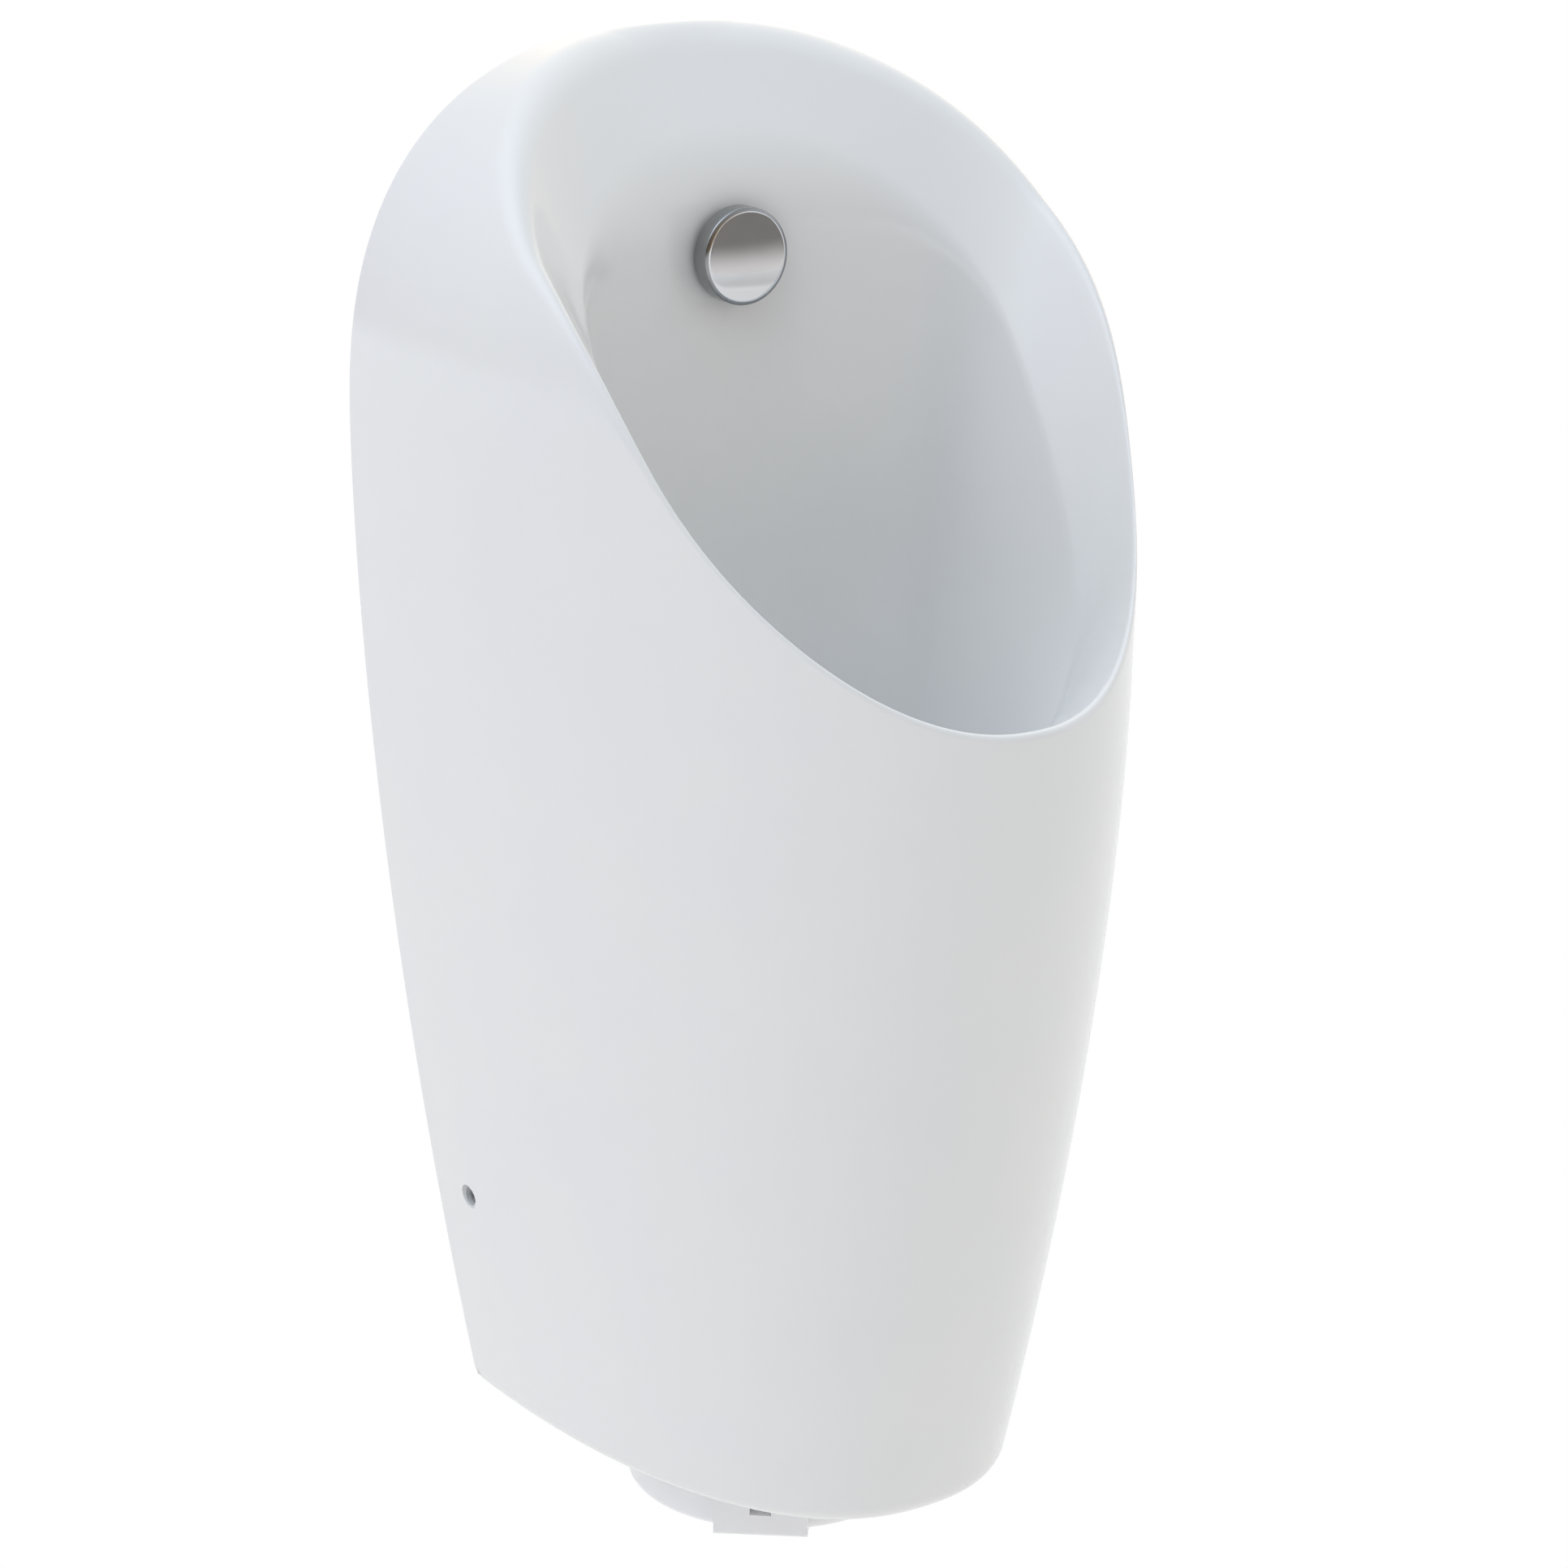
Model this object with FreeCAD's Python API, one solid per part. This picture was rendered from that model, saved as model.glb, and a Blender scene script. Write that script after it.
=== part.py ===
"""A wall hung urinal of glazed vitreous china with its fittings, sized in millimetres.

Heights are measured from the foot of the bowl and depths from the wall, which is the plane y = 0.
The bowl hangs in front of the wall on the -y side and the x = 0 plane is its plane of symmetry.
The exported solids are shifted so that the middle of the two wall fixings is the origin.
"""
import FreeCAD
import Part
import math
import os
from FreeCAD import Vector

# ---------------------------------------------------------------- the china body
BODY_HEIGHT = 650.0
CROWN_FLAT = 0.6            # the crown is finished flat this far under its full height
HALF_WIDTH = 163.0
CROWN_RISE = 167.0          # from the widest level up to the crown
WIDEST_HEIGHT = BODY_HEIGHT - CROWN_RISE
CROWN_POWER = 2.48          # roundness of the crown seen from the front
FOOT_HALF_WIDTH = 107.0
TAPER_POWER = 1.7           # how soon the sides draw in towards the foot
MOUTH_TALL = 262.5          # from the crown down to the lip
LIP_HEIGHT = BODY_HEIGHT - MOUTH_TALL
LIP_DEPTH = 294.0
FOOT_DEPTH = 226.0
PROW_POWER = 1.44           # how soon the front draws in towards the foot
FOOT_SECTION_POWER = 2.33   # squareness of the plan section at the foot
LIP_SECTION_POWER = 1.97    # and at the lip
FOOT_ROUND = 10.0
CHINA_WALL = 9.0
HOLLOW_CROWN = 22.0         # china left over the hollow
HOLLOW_TOP = BODY_HEIGHT - HOLLOW_CROWN

# the rim, where the flared band meets the outside
RIM_DROP = 12.0             # from the crown
RIM_TOP = BODY_HEIGHT - RIM_DROP
RIM_TOP_DEPTH = 20.0
RIM_CROWN = 60.0            # from the rim's widest level up to its top
RIM_WIDEST = RIM_TOP - RIM_CROWN
RIM_MARGIN = 29.3           # from the body's side in to the rim
RIM_HALF_WIDTH = HALF_WIDTH - RIM_MARGIN
RIM_UPPER_POWER = 1.88
RIM_LOWER_POWER = 2.17
RIM_BULGE = 15.8
RIM_SWAY = -156.0
RIM_ROUND = 4.0

# the throat, where the flared band meets the bowl
FLARE_ABOVE = 50.0          # the flared band's reach from the rim, above, beside and below
FLARE_BESIDE = 27.4
FLARE_BELOW = 58.8
FLARE_DEEP = 93.0
THROAT_TOP = RIM_TOP - FLARE_ABOVE
THROAT_TOP_DEPTH = 58.0
THROAT_CROWN = 72.2
THROAT_WIDEST = THROAT_TOP - THROAT_CROWN
THROAT_HALF_WIDTH = RIM_HALF_WIDTH - FLARE_BESIDE
THROAT_BOTTOM = LIP_HEIGHT - FLARE_BELOW
THROAT_BOTTOM_DEPTH = LIP_DEPTH - FLARE_DEEP
THROAT_UPPER_POWER = 2.2
THROAT_LOWER_POWER = 3.2
THROAT_BULGE = 33.5

# the bowl below the throat, drawn as one curve from each throat point to the outlet
BOWL_BACK_SHARE = 0.9       # how far the sides run back before they turn down
BOWL_DROP_SHARE = 0.3
BOWL_SIDE_SHARE = 0.98
OUTLET_HEIGHT = 205.0
OUTLET_DEPTH = 97.0
OUTLET_RADIUS = 24.0
OUTLET_SIDE_REACH = 55.0
OUTLET_FRONT_REACH = 50.0
OUTLET_BACK_REACH = 15.0
OUTLET_DISH = 12.0
HORN_LENGTH = 24.0          # the china pipe under the bowl's outlet
HORN_BORE = 24.5
HORN_RADIUS = 33.5

# ---------------------------------------------------------------- fixing to the wall
FIXING_RISE = 32.0          # of the wall fixings over the widest level
FIXING_HEIGHT = WIDEST_HEIGHT + FIXING_RISE
FIXING_HOLE_RADIUS = 4.5
PLATE_THICKNESS = 3.0
PLATE_MARGIN = 8.0          # between the plate and the china's inside
PLATE_HALF_WIDTH = HALF_WIDTH - CHINA_WALL - PLATE_MARGIN
FIXING_EDGE = 19.0          # from the plate's end to the fixing
FIXING_SPACING = 2 * (PLATE_HALF_WIDTH - FIXING_EDGE)
PLATE_HEAD = 15.0           # of plate over the fixings
PLATE_TOP = FIXING_HEIGHT + PLATE_HEAD
PLATE_BEAM = 75.0
PLATE_BEAM_BOTTOM = PLATE_TOP - PLATE_BEAM
PLATE_CORNER = 8.0
HOOK_WIDTH = 30.0
HOOK_THICKNESS = 4.0
HOOK_REACH = 40.0
HOOK_RISE = 14.0
LUG_DROP = 43.0             # from the fixings to the underside of the two china lugs
LUG_HEIGHT = FIXING_HEIGHT - LUG_DROP
LUG_TALL = 26.0
LUG_FRONT = 34.0
LUG_BACK = 14.0
LUG_WIDTH = 42.0            # from the plate's end inwards
LUG_INNER = PLATE_HALF_WIDTH - LUG_WIDTH
PAD_THICKNESS = 2.0
SIDE_HOLE_HEIGHT = 115.0
SIDE_HOLE_DEPTH = 30.0
SIDE_HOLE_RADIUS = 5.8
SIDE_BLOCK_INNER = 92.0
SIDE_BLOCK_OUTER = 122.0
SIDE_BLOCK_TALL = 34.0
SIDE_BLOCK_DEEP = 42.0
SIDE_FOOT_INNER = 66.0
SIDE_FOOT_THICKNESS = 6.0
SIDE_BLOCK_CORNER = 3.0
SIDE_FIXING_SPACING = 156.0
SIDE_SCREW_RADIUS = 2.5
SIDE_SCREW_HEAD_RADIUS = 4.3
SIDE_SCREW_HEAD = 3.5
SIDE_SLEEVE_WALL = 1.0

# ---------------------------------------------------------------- the spray head
SPRAY_DROP = 35.0           # from the throat's top
SPRAY_HEIGHT = THROAT_TOP - SPRAY_DROP
SPRAY_RADIUS = 22.0
SPRAY_LENGTH = 11.0         # from the seal to the face
SPRAY_CHAMFER = 3.5
SPRAY_SHELL = 1.6
SPRAY_SEAL = 2.0
SPRAY_SEAL_RADIUS = 19.0
SPRAY_FLANGE = 3.0
SPRAY_LAND = 1.2            # how far the flat land for the seal stands proud
STEM_RADIUS = 10.5
STEM_BORE = 6.0
STEM_END_DEPTH = 26.0
STEM_HOLE_CLEARANCE = 0.5
SPRAY_SLOT_HALF = 11.0
SPRAY_SLOT_TALL = 2.5
NUT_THICKNESS = 9.0
NUT_RADIUS = 17.0
ELBOW_WALL = 3.0

# ---------------------------------------------------------------- supply and flush valve
SUPPLY_DEPTH = 25.0         # of every pipe axis behind the bowl
PIPE_RADIUS = 7.5
PIPE_WALL = 1.0
FLUSH_PIPE_DROP = 91.0      # from the spray head's axis to the valve
VALVE_TOP = SPRAY_HEIGHT - FLUSH_PIPE_DROP
VALVE_OUTLET_TALL = 32.0
VALVE_FLOOR = VALVE_TOP - VALVE_OUTLET_TALL  # of the chamber round the valve's seat
VALVE_X = 30.0
VALVE_PORT_RADIUS = 13.0
VALVE_BLOCK_HALF = 13.0
VALVE_BLOCK_BELOW = 16.0
CHAMBER_RADIUS = 9.0
CHAMBER_TALL = 14.0
SEAT_RADIUS = 3.5
SEAT_RISE = 1.0
FEED_RADIUS = 2.0
WATERWAY = 5.5
FEED_OFFSET = 6.5           # of the stop valve beside the flush valve's seat
SUPPLY_X = VALVE_X + FEED_OFFSET
COIL_RADIUS = 13.0
COIL_LENGTH = 38.0
COIL_CROWN = 4.0
COIL_PLUG_DEEP = 3.0        # into the coil's case
COIL_PLUG_REACH = 9.0
COIL_PLUG_HALF = 7.0
COIL_PLUG_MARGIN = 8.0
COIL_PLUG_CORNER = 1.5
CLAMP_WALL = 3.0
CLAMP_FRONT = 6.0
CLAMP_GAP = 2.0
ARMATURE_RADIUS = 5.4
ARMATURE_CLEARANCE = 0.1
ARMATURE_LENGTH = 38.0
ARMATURE_COLLAR_RADIUS = 7.6
ARMATURE_COLLAR = 2.0
TIP_RADIUS = 5.6
TIP_THICKNESS = 2.4
VALVE_FEED = 52.0           # from the valve's floor down to the stop valve
STOP_TOP = VALVE_FLOOR - VALVE_FEED
STOP_NECK = 28.0
STOP_HEIGHT = STOP_TOP - STOP_NECK  # of the stop valve's ball
STOP_DROP = 24.0
INLET_HEIGHT = STOP_HEIGHT - STOP_DROP
INLET_THREAD_RADIUS = 9.5
INLET_THREAD_LENGTH = 12.0
STOP_RADIUS = 13.0
BALL_RADIUS = 8.5
BALL_BORE = 5.0
BALL_CLEARANCE = 0.3
BALL_SOCKET = 1.5
SPINDLE_RADIUS = 3.5
SPINDLE_CLEARANCE = 0.08
LEVER_LENGTH = 15.0
LEVER_WIDTH = 9.0
LEVER_THICKNESS = 3.0
COUPLING_NUT_RADIUS = 15.0
COUPLING_NUT_TALL = 14.0

# ---------------------------------------------------------------- the control unit
BOX_GAP = 13.0              # between the unit and the flush valve
BOX_WIDTH = 74.0
BOX_DROP = 14.0
BOX_TALL = 112.0
BOX_RIGHT = -VALVE_PORT_RADIUS - BOX_GAP
BOX_LEFT = BOX_RIGHT - BOX_WIDTH
BOX_TOP = VALVE_TOP - BOX_DROP
BOX_BOTTOM = BOX_TOP - BOX_TALL
BOX_WALL = 2.0
BOX_BASE_DEPTH = 26.0
BOX_LID_DEPTH = 42.0
BOX_CORNER = 6.0
BOARD_THICKNESS = 1.6
BOARD_MARGIN = 1.0
BATTERY_SIDE = 8.0          # from the unit's sides in to the battery pack
BATTERY_MARGIN = 6.0
BATTERY_CORNER = 4.0
SENSOR_SIDE = 18.0
SENSOR_MARGIN = 10.0        # from the unit's top down to the sensor
SENSOR_TALL = 36.0
SENSOR_DEEP = 10.0
SENSOR_CORNER = 3.0
SENSOR_POST_RADIUS = 4.0
SENSOR_GAP = 10.0           # between the sensor and the battery pack

# ---------------------------------------------------------------- the wall plate's tongue behind the valves
TONGUE_LEFT_MARGIN = 6.0
TONGUE_RIGHT_MARGIN = 28.0
TONGUE_TAIL = 26.0
PLATE_TONGUE_LEFT = BOX_LEFT - TONGUE_LEFT_MARGIN
PLATE_TONGUE_RIGHT = VALVE_X + TONGUE_RIGHT_MARGIN
PLATE_BOTTOM = INLET_HEIGHT - TONGUE_TAIL

# ---------------------------------------------------------------- trap and waste
TRAP_RADIUS = 60.0
TRAP_WALL = 3.0
TRAP_COLLAR_RADIUS = 68.0
TRAP_COLLAR_BORE = 60.3
TRAP_COLLAR_BOTTOM = -6.0
TRAP_COLLAR_TOP = 34.0
TRAP_FLANGE_RADIUS = 80.0
TRAP_FLANGE = 4.0
SOCKET_WALL = 4.0
SEAL_THICKNESS = 3.0
INSERT_RADIUS = 22.0
INSERT_WALL = 2.0
INSERT_FLANGE = 2.0
TRAP_TOP = OUTLET_HEIGHT - CHINA_WALL - HORN_LENGTH - INSERT_FLANGE
WASTE_DROP = 58.0           # from the trap's top
WASTE_HEIGHT = TRAP_TOP - WASTE_DROP
WATER_SEAL = 64.0           # how far the dip tube ends under the waste
INSERT_BOTTOM = WASTE_HEIGHT - WATER_SEAL
WASTE_RADIUS = 25.0
WASTE_WALL = 2.5
WASTE_BEHIND_WALL = 40.0
WASTE_START_DEPTH = 36.0
WASTE_SOCKET = 20.0         # length of pipe in the trap's socket
WASTE_GROOVE_RADIUS = 24.2  # the groove that marks how far the pipe goes in
WASTE_GROOVE_WIDTH = 2.0
WASTE_SEAL_START = 4.0
WASTE_SEAL_LENGTH = 8.0
SLEEVE_RADIUS = 33.0
SLEEVE_LENGTH = 8.0

# ---------------------------------------------------------------- the bottom cover
COVER_RADIUS = 70.0
COVER_OPENING_RADIUS = 73.0
COVER_BOTTOM = -30.0
COVER_SKIRT_TOP = 4.0
COVER_WALL = 3.0
COVER_ROUND = 4.0
COVER_STEP = 6.0            # from the boss's top down to the skirt's thicker part
COVER_PLUG_RADIUS = 59.7
COVER_PLUG_TOP = 28.0
LUG_COUNT = 3
BAYONET_REACH = 3.0
BAYONET_TALL = 6.0
BAYONET_HEIGHT = 14.0
BAYONET_SPREAD = 24.0       # degrees of turn that one bayonet lug covers
BAYONET_TURN = 35.0         # degrees from locked to free
BAYONET_CLEARANCE = 0.7
BOSS_ANGLE = 38.0           # degrees from the front, towards -x
BOSS_REACH = 74.5
BOSS_WIDTH = 44.0
BOSS_TOP = -3.0
KEY_SLOT_WIDTH = 10.0
KEY_SLOT_TALL = 4.5
KEY_SLOT_DEPTH = 6.0
KEY_SLOT_HEIGHT = -17.0
RING_SECTION = 2.2
RING_HEIGHT = 4.0

RUNNING_GAP = 0.3
SECTION_POINTS = 10         # spans of each plan section's curve
TAPER_SECTIONS = 6
CROWN_SECTIONS = 7
RING_POINTS = 10            # spans of half of each ring of the cavity
BOWL_STATIONS = (0.2, 0.45, 0.75)
OVERRUN = 60.0              # how far cutting solids run past what they cut
SMALL_TURN = 0.01

UP = Vector(0, 0, 1)
RIGHT = Vector(1, 0, 0)
TO_WALL = Vector(0, 1, 0)
ORIGIN = Vector(0, 0, 0)


# ================================================================ outlines of the china
def half_width(z):
    """Half of the body's width at a height."""
    if z > WIDEST_HEIGHT:
        rise = (z - WIDEST_HEIGHT) / (BODY_HEIGHT - WIDEST_HEIGHT)
        return HALF_WIDTH * (1 - rise ** CROWN_POWER) ** (1 / CROWN_POWER)
    fall = (WIDEST_HEIGHT - z) / WIDEST_HEIGHT
    return HALF_WIDTH - (HALF_WIDTH - FOOT_HALF_WIDTH) * fall ** TAPER_POWER


def body_depth(z):
    """How far the body's front stands from the wall at a height."""
    if z > LIP_HEIGHT:
        return LIP_DEPTH
    return LIP_DEPTH - (LIP_DEPTH - FOOT_DEPTH) * ((LIP_HEIGHT - z) / LIP_HEIGHT) ** PROW_POWER


def section_power(z):
    """Squareness of the plan section at a height."""
    share = min(1.0, z / LIP_HEIGHT)
    return FOOT_SECTION_POWER + (LIP_SECTION_POWER - FOOT_SECTION_POWER) * share


def superellipse(angle, power):
    """Sine and cosine scaled onto a superellipse of the given power."""
    sine, cosine = math.sin(angle), math.cos(angle)
    scale = (abs(sine) ** power + abs(cosine) ** power) ** (-1 / power)
    return sine * scale, cosine * scale


def rim_depth(z):
    """Distance of the rim from the wall at a height."""
    share = (z - LIP_HEIGHT) / (RIM_TOP - LIP_HEIGHT)
    line = LIP_DEPTH + (RIM_TOP_DEPTH - LIP_DEPTH) * share
    bow = share * (1 - share)
    return line + RIM_BULGE * 4 * bow + RIM_SWAY * bow * (1 - 2 * share)


def throat_depth(z):
    """Distance of the throat from the wall at a height."""
    share = (z - THROAT_BOTTOM) / (THROAT_TOP - THROAT_BOTTOM)
    line = THROAT_BOTTOM_DEPTH + (THROAT_TOP_DEPTH - THROAT_BOTTOM_DEPTH) * share
    return line + THROAT_BULGE * 4 * share * (1 - share)


def rim_point(angle):
    """A point of the rim, by its angle from the top."""
    upper = math.cos(angle) > 0
    x, rise = superellipse(angle, RIM_UPPER_POWER if upper else RIM_LOWER_POWER)
    z = RIM_WIDEST + rise * (RIM_TOP - RIM_WIDEST if upper else RIM_WIDEST - LIP_HEIGHT)
    return Vector(RIM_HALF_WIDTH * x, -rim_depth(z), z)


def throat_point(angle):
    """A point of the throat, by its angle from the top."""
    upper = math.cos(angle) > 0
    x, rise = superellipse(angle, THROAT_UPPER_POWER if upper else THROAT_LOWER_POWER)
    z = THROAT_WIDEST + rise * (THROAT_TOP - THROAT_WIDEST if upper else THROAT_WIDEST - THROAT_BOTTOM)
    return Vector(THROAT_HALF_WIDTH * x, -throat_depth(z), z)


def outlet_point(angle, radius, z):
    """A point of a level circle round the outlet's axis."""
    return Vector(radius * math.sin(angle), radius * math.cos(angle) - OUTLET_DEPTH, z)


def flare_point(angle, share):
    """A point of the flared band: 0 is the throat, 1 the rim and more is beyond it."""
    throat = throat_point(angle)
    return throat + (rim_point(angle) - throat) * share


def bowl_point(angle, share):
    """A point of the bowl's inner face: 0 is the throat and 1 the outlet."""
    start = throat_point(angle)
    end = outlet_point(angle, OUTLET_RADIUS, OUTLET_HEIGHT)
    upper = math.cos(angle) > 0
    back = BOWL_BACK_SHARE * (1 if upper else math.sin(angle) ** 2)
    run = Vector(start.x * BOWL_SIDE_SHARE,
                 start.y - (THROAT_TOP_DEPTH + start.y) * back,
                 start.z - (start.z - OUTLET_HEIGHT) * BOWL_DROP_SHARE)
    reach = OUTLET_BACK_REACH if upper else OUTLET_FRONT_REACH
    dish = end + Vector(OUTLET_SIDE_REACH * math.sin(angle), reach * math.cos(angle), OUTLET_DISH)
    left = 1 - share
    return start * left ** 3 + run * (3 * share * left ** 2) + dish * (3 * share ** 2 * left) + end * share ** 3


def outward(surface, angle, share):
    """Unit normal of a surface of the cavity, pointing into the china."""
    along = surface(angle + SMALL_TURN, share) - surface(angle - SMALL_TURN, share)
    down = surface(angle, share + SMALL_TURN) - surface(angle, share - SMALL_TURN)
    normal = along.cross(down)
    normal.normalize()
    return normal if surface is bowl_point else normal * -1


# ================================================================ shapes in general
def spline(points):
    """A smooth edge through points, evenly paced, so that rings match each other."""
    curve = Part.BSplineCurve()
    curve.interpolate(Points=points, PeriodicFlag=False, Parameters=[float(k) for k in range(len(points))])
    return curve.toShape()


def mirrored(shape):
    """The shape's twin on the other side of the symmetry plane."""
    return shape.mirror(ORIGIN, RIGHT)


def rod(start, axis, radius, length):
    """A cylinder from a point along an axis."""
    return Part.makeCylinder(radius, length, start, axis)


def pipe(start, axis, radius, bore, length):
    """A straight tube from a point along an axis."""
    return rod(start, axis, radius, length).cut(rod(start, axis, bore, length))


def block(x0, x1, out0, out1, z0, z1):
    """A box between two widths, two distances from the wall and two heights."""
    return Part.makeBox(x1 - x0, out1 - out0, z1 - z0, Vector(x0, -out1, z0))


def slab(x0, x1, out0, out1, z0, z1, corner):
    """A box whose four edges square to the wall are rounded."""
    box = block(x0, x1, out0, out1, z0, z1)
    edges = [e for e in box.Edges if abs(e.tangentAt(e.FirstParameter).y) > 0.9]
    return box.makeFillet(corner, edges)


def hexagon(start, axis, radius, length):
    """A six sided prism from a point along an axis."""
    corners = [Vector(radius * math.cos(math.pi / 3 * k), radius * math.sin(math.pi / 3 * k), 0) for k in range(7)]
    prism = Part.Face(Part.makePolygon(corners)).extrude(UP * length)
    prism.Placement = FreeCAD.Placement(start, FreeCAD.Rotation(UP, axis))
    return prism


def hex_nut(start, axis, radius, bore, length):
    """A hexagon nut with a plain bore."""
    return hexagon(start, axis, radius, length).cut(rod(start, axis, bore, length))


def turned(profile, start, axis):
    """A solid of revolution from (radius, distance along the axis) points."""
    points = [Vector(r, 0, h) for r, h in profile]
    face = Part.Face(Part.makePolygon(points + points[:1]))
    solid = face.revolve(ORIGIN, UP, 360)
    solid.Placement = FreeCAD.Placement(start, FreeCAD.Rotation(UP, axis))
    return solid


def joined(shapes):
    """One solid from shapes that meet."""
    return shapes[0].multiFuse(shapes[1:]).removeSplitter()


def save(name, shape):
    """Write one node's file with the wall fixings' middle as its origin."""
    placed = shape.copy()
    placed.translate(Vector(0, 0, -FIXING_HEIGHT))
    placed.exportStep("parts/" + name + ".step")


# ================================================================ the china body
def plan_section(z, inset, behind):
    """A level section of the body: a U round the front, closed straight behind the wall plane."""
    wide, deep = half_width(z) - inset, body_depth(z) - inset
    points = []
    for k in range(SECTION_POINTS + 1):
        forward, side = superellipse(math.pi * k / SECTION_POINTS, section_power(z))
        points.append(Vector(wide * side, -deep * forward, z))
    points[-1] = Vector(-points[0].x, 0, z)
    points[0] = Vector(points[0].x, 0, z)
    edges = [spline(points)]
    corners = [points[-1], points[-1] + TO_WALL * behind, points[0] + TO_WALL * behind, points[0]]
    for start, end in zip(corners, corners[1:]):
        if (end - start).Length > 0:
            edges.append(Part.makeLine(start, end))
    return Part.Wire(edges)


def body_column(inset, behind, bottom, top):
    """The body's outer form, or its hollow when inset, between two heights."""
    heights = [bottom + (WIDEST_HEIGHT - bottom) * k / TAPER_SECTIONS for k in range(TAPER_SECTIONS + 1)]
    for k in range(1, CROWN_SECTIONS + 1):
        heights.append(WIDEST_HEIGHT + (top - WIDEST_HEIGHT) * math.sin(math.pi / 2 * k / CROWN_SECTIONS))
    return Part.makeLoft([plan_section(z, inset, behind) for z in heights], True, False)


def half_ring(place):
    """The right half of a ring of the cavity, from its top to its bottom."""
    points = [place(math.pi * k / RING_POINTS) for k in range(RING_POINTS + 1)]
    points[0].x = points[-1].x = 0
    return Part.Wire([spline(points)])


def half_cap(ring):
    """The flat half face that closes a level or upright half ring."""
    edge = ring.Edges[0]
    chord = Part.makeLine(edge.valueAt(edge.LastParameter), edge.valueAt(edge.FirstParameter))
    return Part.Face(Part.Wire([edge, chord]))


def cavity(growth):
    """The space inside the bowl and its flared mouth, grown into the china by a distance."""
    beyond = 1.5

    def throat(angle):
        lean = outward(flare_point, angle, 0) + outward(bowl_point, angle, 0)
        lean.normalize()
        return throat_point(angle) + lean * growth

    def mouth(angle):
        return flare_point(angle, beyond) + outward(flare_point, angle, beyond) * growth

    def front(angle):
        point = mouth(angle)
        return Vector(point.x, -LIP_DEPTH - OVERRUN, point.z)

    def station(share):
        return half_ring(lambda angle: bowl_point(angle, share) + outward(bowl_point, angle, share) * growth)

    def outlet(angle):
        return outlet_point(angle, OUTLET_RADIUS + growth, OUTLET_HEIGHT - growth)

    throat_ring, front_ring, outlet_ring = half_ring(throat), half_ring(front), half_ring(outlet)
    flare = Part.makeLoft([front_ring, half_ring(mouth), throat_ring], False, True)
    rings = [throat_ring] + [station(share) for share in BOWL_STATIONS] + [outlet_ring]
    bowl = Part.makeLoft(rings, False, False)
    half = flare.Faces + bowl.Faces + [half_cap(front_ring), half_cap(outlet_ring)]
    shell = Part.Compound(half + [mirrored(face) for face in half])
    shell.sewShape()
    solid = Part.Solid(shell if shell.ShapeType == "Shell" else shell.Shells[0])
    return solid if solid.Volume > 0 else solid.reversed()


def hanging_lug(column):
    """The china lug on the right that rests on the wall plate's hook."""
    lug = block(LUG_INNER, HALF_WIDTH, LUG_BACK, LUG_FRONT, LUG_HEIGHT, LUG_HEIGHT + LUG_TALL)
    return lug.common(column)


def is_rim(edge):
    """Whether an edge is where the flared band meets the outside."""
    middle = edge.valueAt((edge.FirstParameter + edge.LastParameter) / 2)
    near = abs(middle.y + rim_depth(middle.z)) < 2 * CHINA_WALL
    return near and middle.z > LIP_HEIGHT - CHINA_WALL and edge.Length > OVERRUN


def is_foot(edge):
    """Whether an edge is the outer one round the foot."""
    box = edge.BoundBox
    return box.ZMax < 1e-3 and box.YMin < -OUTLET_DEPTH and abs(box.XMax - FOOT_HALF_WIDTH) < CHINA_WALL


def ceramic_body():
    """The china: a tapered column with a slanted mouth, a hollow back and a bowl inside."""
    column = body_column(0, 0, 0, BODY_HEIGHT - CROWN_FLAT)
    foot = [edge for edge in column.Edges if is_foot(edge)]
    column = column.makeFillet(FOOT_ROUND, foot)
    hollow = body_column(CHINA_WALL, 2, CHINA_WALL, HOLLOW_TOP).cut(cavity(CHINA_WALL))
    china = column.cut(hollow).cut(cavity(0))
    china = china.makeFillet(RIM_ROUND, [edge for edge in china.Edges if is_rim(edge)])
    horn_top = OUTLET_HEIGHT - CHINA_WALL
    horn = rod(Vector(0, -OUTLET_DEPTH, horn_top - HORN_LENGTH), UP, HORN_RADIUS, HORN_LENGTH + CHINA_WALL / 2)
    land = rod(spray_start(), TO_WALL, SPRAY_SEAL_RADIUS + 1, CHINA_WALL / 2)
    lug = hanging_lug(column)
    china = china.multiFuse([horn, land, lug, mirrored(lug)])
    holes = [
        rod(Vector(0, -OUTLET_DEPTH, horn_top - HORN_LENGTH - 1), UP, HORN_BORE, HORN_LENGTH + CHINA_WALL + 2),
        rod(Vector(0, -OUTLET_DEPTH, -1), UP, COVER_OPENING_RADIUS, CHINA_WALL + 2),
        rod(spray_start() - TO_WALL * CHINA_WALL, TO_WALL,
            STEM_RADIUS + STEM_HOLE_CLEARANCE, 3 * CHINA_WALL),
        rod(Vector(-HALF_WIDTH, -SIDE_HOLE_DEPTH, SIDE_HOLE_HEIGHT), RIGHT, SIDE_HOLE_RADIUS, 2 * HALF_WIDTH),
    ]
    return china.cut(Part.Compound(holes))


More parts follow.
